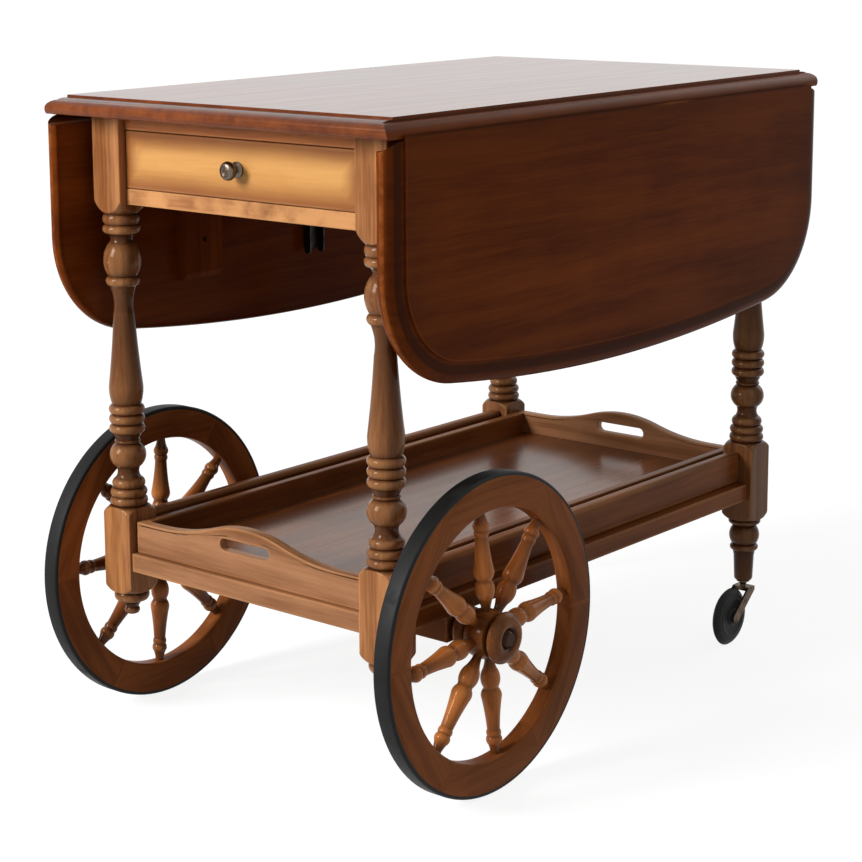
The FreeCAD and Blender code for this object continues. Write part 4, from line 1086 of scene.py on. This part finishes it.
CREST_RISE = 20.5
CREST_SPAN = 130.0
CREST_KNEE = 50.0
SLOT_LENGTH = 72.0
SLOT_HEIGHT = 13.0
SLOT_LIFT = 34.0
CREST_STEPS = 61
SLOT_ARC = 10
OUTLINE_STEPS = (5, 5, 40, 5, 5)
TRAY_GRAIN = 40
TRAY_END_GRAIN = 43
FLOOR_EASE = 0.5


def crest_height(x, wall):
    """Height of a tray end's top edge: the wall, and over its middle an ogee of two arcs, round at the crest
    and hollow at the foot, that meet at the knee with one slope."""
    turn = 2 * math.atan(CREST_RISE / CREST_SPAN)
    crown = CREST_KNEE / math.sin(turn)
    sweep = (CREST_SPAN - CREST_KNEE) / math.sin(turn)
    far = np.minimum(np.abs(x), CREST_SPAN)
    top = wall + CREST_RISE - crown + np.sqrt(np.maximum(crown ** 2 - far ** 2, 0))
    foot = wall + sweep - np.sqrt(sweep ** 2 - (CREST_SPAN - far) ** 2)
    return np.where(far < CREST_KNEE, top, foot)


def outward(loop):
    """Unit normals of a closed loop of points that runs anticlockwise."""
    along = np.roll(loop, -1, axis=0) - np.roll(loop, 1, axis=0)
    across = np.stack([along[:, 1], -along[:, 0]], axis=1)
    return across / np.linalg.norm(across, axis=1, keepdims=True)


def end_outline(half, wall):
    """Loop round a tray end, from the right foot of its crest over the crest and round by its own foot."""
    corners = np.array([[-CREST_SPAN, wall], [-half, wall], [-half, 0],
                        [half, 0], [half, wall], [CREST_SPAN, wall]])
    crest = np.linspace(CREST_SPAN, -CREST_SPAN, CREST_STEPS)
    parts = [np.stack([crest, crest_height(crest, wall)], axis=1)]
    for start, end, steps in zip(corners, corners[1:], OUTLINE_STEPS):
        parts.append(start + np.linspace(0, 1, steps + 1)[1:, None] * (end - start))
    return np.concatenate(parts)[:-1]


def slot_outline():
    """Loop round the hand slot, with as many points as the end's outline: arcs at its ends, lines between."""
    radius = SLOT_HEIGHT / 2
    reach = SLOT_LENGTH / 2 - radius
    turn = np.linspace(0, math.pi / 2, SLOT_ARC)
    arc = np.stack([reach + radius * np.cos(turn), radius * np.sin(turn)], axis=1)
    line = np.linspace(reach, -reach, CREST_STEPS - 2 * SLOT_ARC + 2)[1:-1]
    upper = np.concatenate([arc, np.stack([line, np.full_like(line, radius)], axis=1), arc[::-1] * [-1, 1]])
    return np.concatenate([upper, -upper[1:-1]]) + [0, SLOT_LIFT]


def tray_end_surface(half, wall, thick, number):
    """Tray end about the middle of its foot, as a closed ring: the loop round the slot is joined to the loop
    round the outline over the front face, the eased edges and the back face, and closed through the slot."""
    ease = sizes().arris / MM
    rub = sizes().rub / MM
    outer = end_outline(half, wall)
    slot = slot_outline()
    outer_normal = outward(outer)
    slot_normal = outward(slot)
    turn = np.linspace(0, math.pi / 2, 5)
    rim = np.stack([ease * (1 - np.sin(turn)), ease * (1 - np.cos(turn)) - thick / 2], axis=1)
    face = np.array([[ease + rub, -thick / 2]])
    outer_rows = np.concatenate([face, rim])
    slot_rows = outer_rows[::-1]
    front = [slot + offset * slot_normal for offset in slot_rows[:, 0]]
    front += [(slot + outer) / 2]
    front += [outer - offset * outer_normal for offset in outer_rows[:, 0]]
    depths = np.concatenate([slot_rows[:, 1], [-thick / 2], outer_rows[:, 1]])
    band = np.concatenate([[0.0], np.full(len(rim), 1.0)])
    wear = np.concatenate([band[::-1], [0.0], band])
    loops = np.array(front + front[::-1])
    depths = np.concatenate([depths, -depths[::-1]])
    wear = np.concatenate([wear, wear[::-1]])
    points = np.stack(np.broadcast_arrays(loops[..., 0], depths[:, None], loops[..., 1]), axis=-1)
    return loft(points, own_grain(points, "x", number), wear[:, None], 0.0, True)


class TROLLEY_OT_tray(bpy.types.Operator):
    """Makes the tray's floor, sides and ends"""

    bl_idname = "trolley.tray"
    bl_label = "Tray"

    def execute(self, context):
        board_piece("tray_floor", "tray", "y", TRAY_GRAIN, "dark tray floor", sizes().burst / MM,
                    FLOOR_EASE)
        for number, side in enumerate(SIDES, TRAY_GRAIN + 1):
            board_piece("tray_side_" + side, "tray", "y", number, "varnished rail")
        wall = millimetres("tray_side_left")
        for number, node in enumerate(("tray_end_front", "tray_end_rear"), TRAY_END_GRAIN):
            low, high = millimetres(node)
            surface = tray_end_surface(high[0], wall[1][2] - wall[0][2], high[1] - low[1], number)
            surface = moved(surface, [0.0, (low[1] + high[1]) / 2, low[2]])
            piece(node, surface, "tray", "amber tray")
        return {"FINISHED"}


# Wheels

SPOKES = 8
SPOKE_PHASE = {"left": 2.5, "right": -5.5}
# Radius from which a spoke has no toner: the right wheel's darkens its spokes' necks with real toner, the
# left wheel's larger one also paints shade on the left wheel's spokes.
SPOKE_STOUT_TONER_AND_SHADE = {"left": 13.0, "right": 9.0}
TYRE_THICK = 4.0
TYRE_ROUND = 2.5
FELLOE_DEPTH = 33.0
FELLOE_ROUND = 3.0
FELLOE_PARTS = 6
FELLOE_SHIFT = (71.0, 190.0)
FELLOE_WEAR = 2.5
TYRE_EDGE = 2.0
TYRE_SIDE = 3.0
SHARP = 0.05
WHEEL_SHIFT = 300.0
SPOKE_STEPS = 40
SPOKE_SEAT = 2.0
SPOKE_REACH = 4.0
SPOKE_GRAIN = (50, 59)
HUBS = (("wheel_hub_", HUB_END_RADIUS, HUB_TURNINGS, 70),
        ("wheel_hub_cap_", CAP_BOSS_RADIUS, CAP_TURNINGS, 75))


def ring(section):
    """Ring about Z: a closed (radius, height) section carried round a circle."""
    return swept(section[:, 0], around(sizes().rim_steps)[:, None], section[:, 1])


def rounded_section(inner, outer, half, inner_round, outer_round):
    """Closed (radius, height) outline of a rectangle with its inner and outer corners rounded."""
    quarter = np.linspace(0, math.pi / 2, 7)
    parts = []
    for sign, side in ((1, 1), (-1, 1), (-1, -1), (1, -1)):
        radius, bend = (outer, outer_round) if sign > 0 else (inner, inner_round)
        turn = quarter if sign * side > 0 else quarter[::-1]
        parts.append(np.stack([radius + sign * bend * (np.cos(turn) - 1),
                               side * half + side * bend * (np.sin(turn) - 1)], axis=1))
    return np.concatenate(parts)


def tyre_surface(outer, half):
    """A wheel's tyre about Z, worn at its outer corners."""
    points = ring(rounded_section(outer - TYRE_THICK, outer, half, SHARP, TYRE_ROUND))
    radius = np.linalg.norm(points[..., :2], axis=-1)
    edge = np.clip(1 - np.abs(radius - outer) / TYRE_EDGE, 0, 1)
    corner = edge * np.clip((np.abs(points[..., 2]) - half + TYRE_SIDE) / TYRE_SIDE, 0, 1)
    return loft(points, points, corner, 0.0, True)


def felloe_surface(outer, inner, half, number):
    """A wheel's felloe about Z, worn at its inner corners. Its grain follows each of its straight parts."""
    points = ring(rounded_section(inner, outer, half, FELLOE_ROUND, SHARP))
    x, y, z = points[..., 0], points[..., 1], points[..., 2]
    part = np.floor(around(len(points)) / (2 * math.pi) * FELLOE_PARTS)[:, None]
    lean = (part + 0.5) * 2 * math.pi / FELLOE_PARTS
    across = x * np.cos(lean) + y * np.sin(lean) + FELLOE_SHIFT[0] * part
    along = y * np.cos(lean) - x * np.sin(lean) + FELLOE_SHIFT[1] * part
    grain = np.stack([across, z, along], axis=-1) + WHEEL_SHIFT * number
    inside = np.clip(1 - (np.linalg.norm(points[..., :2], axis=-1) - inner) / FELLOE_WEAR, 0, 1)
    rim = np.clip((np.abs(z) - half + FELLOE_ROUND) / FELLOE_ROUND, 0, 1)
    return loft(points, grain, inside * rim, 0.0, True)


def spoke_surfaces(rim, phase, stout, number):
    """Eight turned spokes about X: one surface of revolution turned by equal steps about the axle, the first
    of them leaning by the phase from straight up towards the back."""
    profile = turned_profile(SPOKE_TENON_RADIUS, filled(SPOKE_TURNINGS, rim - HUB_BELLY))
    ends = [[SPOKE_TENON_RADIUS, -SPOKE_SEAT]], [[SPOKE_TENON_RADIUS, profile[-1, 1] + SPOKE_REACH]]
    profile = np.concatenate([ends[0], profile, ends[1]])
    made = []
    for index in range(SPOKES):
        blank = turned(profile, number + index, SPOKE_STEPS, stout)
        x, y, z = (blank["points"] + [0, 0, rim]).T
        turn = math.radians(phase + index * 360.0 / SPOKES)
        blank["points"] = np.stack([x, y * math.cos(turn) + z * math.sin(turn),
                                    z * math.cos(turn) - y * math.sin(turn)], axis=1)
        made.append(blank)
    return joined(made)


class TROLLEY_OT_wheels(bpy.types.Operator):
    """Makes the two spoked wheels: tyre, felloe, spokes, hub and hub cap"""

    bl_idname = "trolley.wheels"
    bl_label = "Wheels"

    def execute(self, context):
        for number, (side, sign) in enumerate(SIDES.items()):
            body = side + "_wheel"
            low, high = millimetres("wheel_tyre_" + side)
            middle = (low + high) / 2
            outer = (high[2] - low[2]) / 2
            half = (high[0] - low[0]) / 2
            seat = outer - TYRE_THICK
            inner = seat - FELLOE_DEPTH
            tyre = tyre_surface(outer, half)
            felloe = felloe_surface(seat, inner, half, number + 1)
            spokes = spoke_surfaces(inner, SPOKE_PHASE[side], SPOKE_STOUT_TONER_AND_SHADE[side], SPOKE_GRAIN[number])
            piece("wheel_tyre_" + side, laid(tyre, middle, sign), body, RUBBER)
            piece("wheel_felloe_" + side, laid(felloe, middle, sign), body, "wheel rim")
            piece("wheel_spokes_" + side, moved(spokes, middle), body, "amber spoke",
                  TURNED_CREASE)
            for node, radius, turnings, grain in HUBS:
                low, high = millimetres(node + side)
                profile = turned_profile(radius, filled(turnings, high[0] - low[0]))
                outside = [(high if sign > 0 else low)[0], middle[1], middle[2]]
                hub = laid(turned(profile, grain + number), outside, sign)
                piece(node + side, hub, body, "wheel hub", TURNED_CREASE)
        return {"FINISHED"}


# Casters

CASTER_BORE = 3.5
CASTER_TURNINGS = [
    (0.0, None, 8.2),
    (0.8, 8.8, 9.0),
    (1.7, None, 11.5),
    (0.0, None, 21.0),
    (-0.7, 22.2, 23.0),
    (0.7, 24.4, 25.0),
    (0.0, None, 28.0),
    (5.5, 33.5, 36.0),
    (5.5, 33.5, 28.0),
    (0.0, None, 25.0),
    (0.7, 23.8, 23.0),
    (-0.7, 21.6, 21.0),
    (0.0, None, 11.5),
    (1.7, None, 9.0),
    (0.8, 8.8, 8.2),
    (0.0, None, CASTER_BORE),
]
CASTER_GRAIN = 80


class TROLLEY_OT_casters(bpy.types.Operator):
    """Makes the casters' rubber wheels, and finishes their forks and sockets"""

    bl_idname = "trolley.casters"
    bl_label = "Casters"

    def execute(self, context):
        for side in SIDES:
            dress("caster_fork_" + side, "bronze plate")
            low, high = millimetres("caster_wheel_" + side)
            middle = (low + high) / 2
            wheel = turned(turned_profile(CASTER_BORE, CASTER_TURNINGS), CASTER_GRAIN)
            wheel = laid(wheel, [high[0], middle[1], middle[2]], 1.0)
            piece("caster_wheel_" + side, wheel, side + "_caster_wheel", RUBBER)
        dress("caster_sockets", "bronze plate")
        return {"FINISHED"}


class TROLLEY_OT_hardware(bpy.types.Operator):
    """Finishes the hinges, stays, keepers and the axle"""

    bl_idname = "trolley.hardware"
    bl_label = "Hardware"

    def execute(self, context):
        for node in ("hinge_top_plates", "stay_keepers", "axle_rod", "axle_fittings"):
            dress(node, "dull steel")
        for side in SIDES:
            for node in ("hinge_leaf_plates_", "stay_plate_", "stay_arm_"):
                dress(node + side, "dull steel")
        return {"FINISHED"}


# Stage, in metres

FLOOR_REACH = 30.0
GLOW_NEAR = 0.8
GLOW_FAR = 2.6
WHITE = (1.0, 1.0, 1.0, 1.0)
SENSOR = 36.0
SIGHT = 100.0
# Lamps as (name, place, target, width, height)
LAMPS = (
    ("window", (-1.36, -3.22, 1.95), (0.0, -0.1, 0.4), 1.2, 1.6),
    ("fill", (3.0, -0.6, 1.6), (0.0, 0.0, 0.35), 2.0, 2.0),
    ("back", (0.8, 3.2, 2.2), (0.0, 0.0, 0.35), 2.0, 2.0),
)


def lamp(name, place, target, width, height, power):
    """Area lamp that faces a target."""
    light = bpy.data.lights.new(name, "AREA")
    light.shape = "RECTANGLE"
    light.size = width
    light.size_y = height
    light.energy = power
    made = placed(name, light)
    made.location = place
    made.rotation_euler = (Vector(target) - Vector(place)).to_track_quat("-Z", "Y").to_euler()


def seen_white(tree):
    """1 for rays that show the background: camera, glossy and transmission rays."""
    path = add(tree, "ShaderNodeLightPath")
    seen = sums(tree, "MAXIMUM", path.outputs["Is Camera Ray"], path.outputs["Is Glossy Ray"])
    return sums(tree, "MAXIMUM", seen, path.outputs["Is Transmission Ray"])


def floor_material(stage):
    """Floor: matt grey for the light it throws back, and to see, a white glow with a faint shadow."""
    made, tree, shader = blank_material("pale floor")
    shader.inputs["Base Color"].default_value = opaque(stage.floor_colour)
    shader.inputs["Roughness"].default_value = 0.9
    shader.inputs["Specular IOR Level"].default_value = 0.0
    place = add(tree, "ShaderNodeTexCoord").outputs["Object"]
    distance = add(tree, "ShaderNodeVectorMath", {0: place}, operation="LENGTH").outputs["Value"]
    strength = between(tree, span(tree, distance, GLOW_NEAR, GLOW_FAR), stage.floor_glow, stage.far_glow)
    glow = add(tree, "ShaderNodeEmission", {"Color": WHITE, "Strength": strength})
    soft = add(tree, "ShaderNodeBsdfDiffuse", {"Color": opaque([stage.floor_shade] * 3)})
    both = add(tree, "ShaderNodeAddShader", {0: glow.outputs[0], 1: soft.outputs[0]})
    shaders = {0: seen_white(tree), 1: shader.outputs[0], 2: both.outputs[0]}
    pick = add(tree, "ShaderNodeMixShader", shaders)
    tree.links.new(pick.outputs[0], tree.nodes["Material Output"].inputs["Surface"])
    return made


def white_world(stage):
    """World that is white to see and gives the sky's light."""
    world = bpy.data.worlds.new("studio")
    world.use_nodes = True
    tree = world.node_tree
    sky = tree.nodes["Background"]
    sky.inputs["Color"].default_value = WHITE
    tree.links.new(between(tree, seen_white(tree), stage.sky, 1.0), sky.inputs["Strength"])
    return world


def photo_camera(stage):
    """Camera at its place, turned to its azimuth, elevation and roll."""
    camera = bpy.data.cameras.new("camera")
    camera.lens = stage.lens
    camera.sensor_width = SENSOR
    camera.shift_x, camera.shift_y = stage.shift
    camera.clip_end = SIGHT
    holder = placed("camera", camera)
    holder.location = stage.camera_place
    across, along = math.cos(stage.azimuth), math.sin(stage.azimuth)
    level = math.cos(stage.elevation)
    back = Vector((along * level, -across * level, math.sin(stage.elevation)))
    right = Vector((across, along, 0.0))
    up = back.cross(right)
    turn = Matrix((right, up, back)).transposed() @ Matrix.Rotation(stage.roll, 3, "Z")
    holder.rotation_euler = turn.to_euler()
    return holder


class TROLLEY_OT_stage(bpy.types.Operator):
    """Makes the pale floor, the white background, the lamps and the camera"""

    bl_idname = "trolley.stage"
    bl_label = "Stage"

    def execute(self, context):
        stage = context.scene.trolley_stage
        mesh = bpy.data.meshes.new("floor")
        corners = [(-1, -1), (1, -1), (1, 1), (-1, 1)]
        mesh.from_pydata([(x * FLOOR_REACH, y * FLOOR_REACH, 0) for x, y in corners], [], [(0, 1, 2, 3)])
        mesh.materials.append(floor_material(stage))
        floor = placed("floor", mesh)
        for name, place, target, width, height in LAMPS:
            lamp(name + " lamp", place, target, width, height, getattr(stage, name + "_power"))
        context.scene.world = white_world(stage)
        context.scene.camera = photo_camera(stage)
        context.scene.view_settings.view_transform = "Standard"
        return {"FINISHED"}


class TROLLEY_PT_panel(bpy.types.Panel):
    """Lists the trolley's operators and settings"""

    bl_idname = "TROLLEY_PT_panel"
    bl_label = "Tea Trolley"
    bl_space_type = "VIEW_3D"
    bl_region_type = "UI"
    bl_category = "Trolley"

    def draw(self, context):
        for operator in OPERATORS:
            self.layout.operator(operator.bl_idname)
        for group in (context.scene.trolley_sizes, context.scene.trolley_finish, context.scene.trolley_stage):
            box = self.layout.box()
            for name in group.__annotations__:
                box.prop(group, name)


OPERATORS = (TROLLEY_OT_top, TROLLEY_OT_leaves, TROLLEY_OT_legs, TROLLEY_OT_aprons, TROLLEY_OT_drawer,
             TROLLEY_OT_shelf, TROLLEY_OT_tray, TROLLEY_OT_wheels, TROLLEY_OT_casters, TROLLEY_OT_hardware,
             TROLLEY_OT_stage)
GROUPS = (TrolleySizes, TrolleyFinish, TrolleyStage)


def register():
    """Registers the classes and hangs the settings on the scene."""
    for group in GROUPS + OPERATORS + (TROLLEY_PT_panel,):
        bpy.utils.register_class(group)
    bpy.types.Scene.trolley_sizes = PointerProperty(type=TrolleySizes)
    bpy.types.Scene.trolley_finish = PointerProperty(type=TrolleyFinish)
    bpy.types.Scene.trolley_stage = PointerProperty(type=TrolleyStage)


def unregister():
    """Takes the settings off the scene and the classes out."""
    del bpy.types.Scene.trolley_stage
    del bpy.types.Scene.trolley_finish
    del bpy.types.Scene.trolley_sizes
    for group in reversed(GROUPS + OPERATORS + (TROLLEY_PT_panel,)):
        bpy.utils.unregister_class(group)


def main():
    """Builds the trolley."""
    register()
    bpy.ops.trolley.top()
    bpy.ops.trolley.leaves()
    bpy.ops.trolley.legs()
    bpy.ops.trolley.aprons()
    bpy.ops.trolley.drawer()
    bpy.ops.trolley.shelf()
    bpy.ops.trolley.tray()
    bpy.ops.trolley.wheels()
    bpy.ops.trolley.casters()
    bpy.ops.trolley.hardware()
    bpy.ops.trolley.stage()


if __name__ == "__main__":
    main()
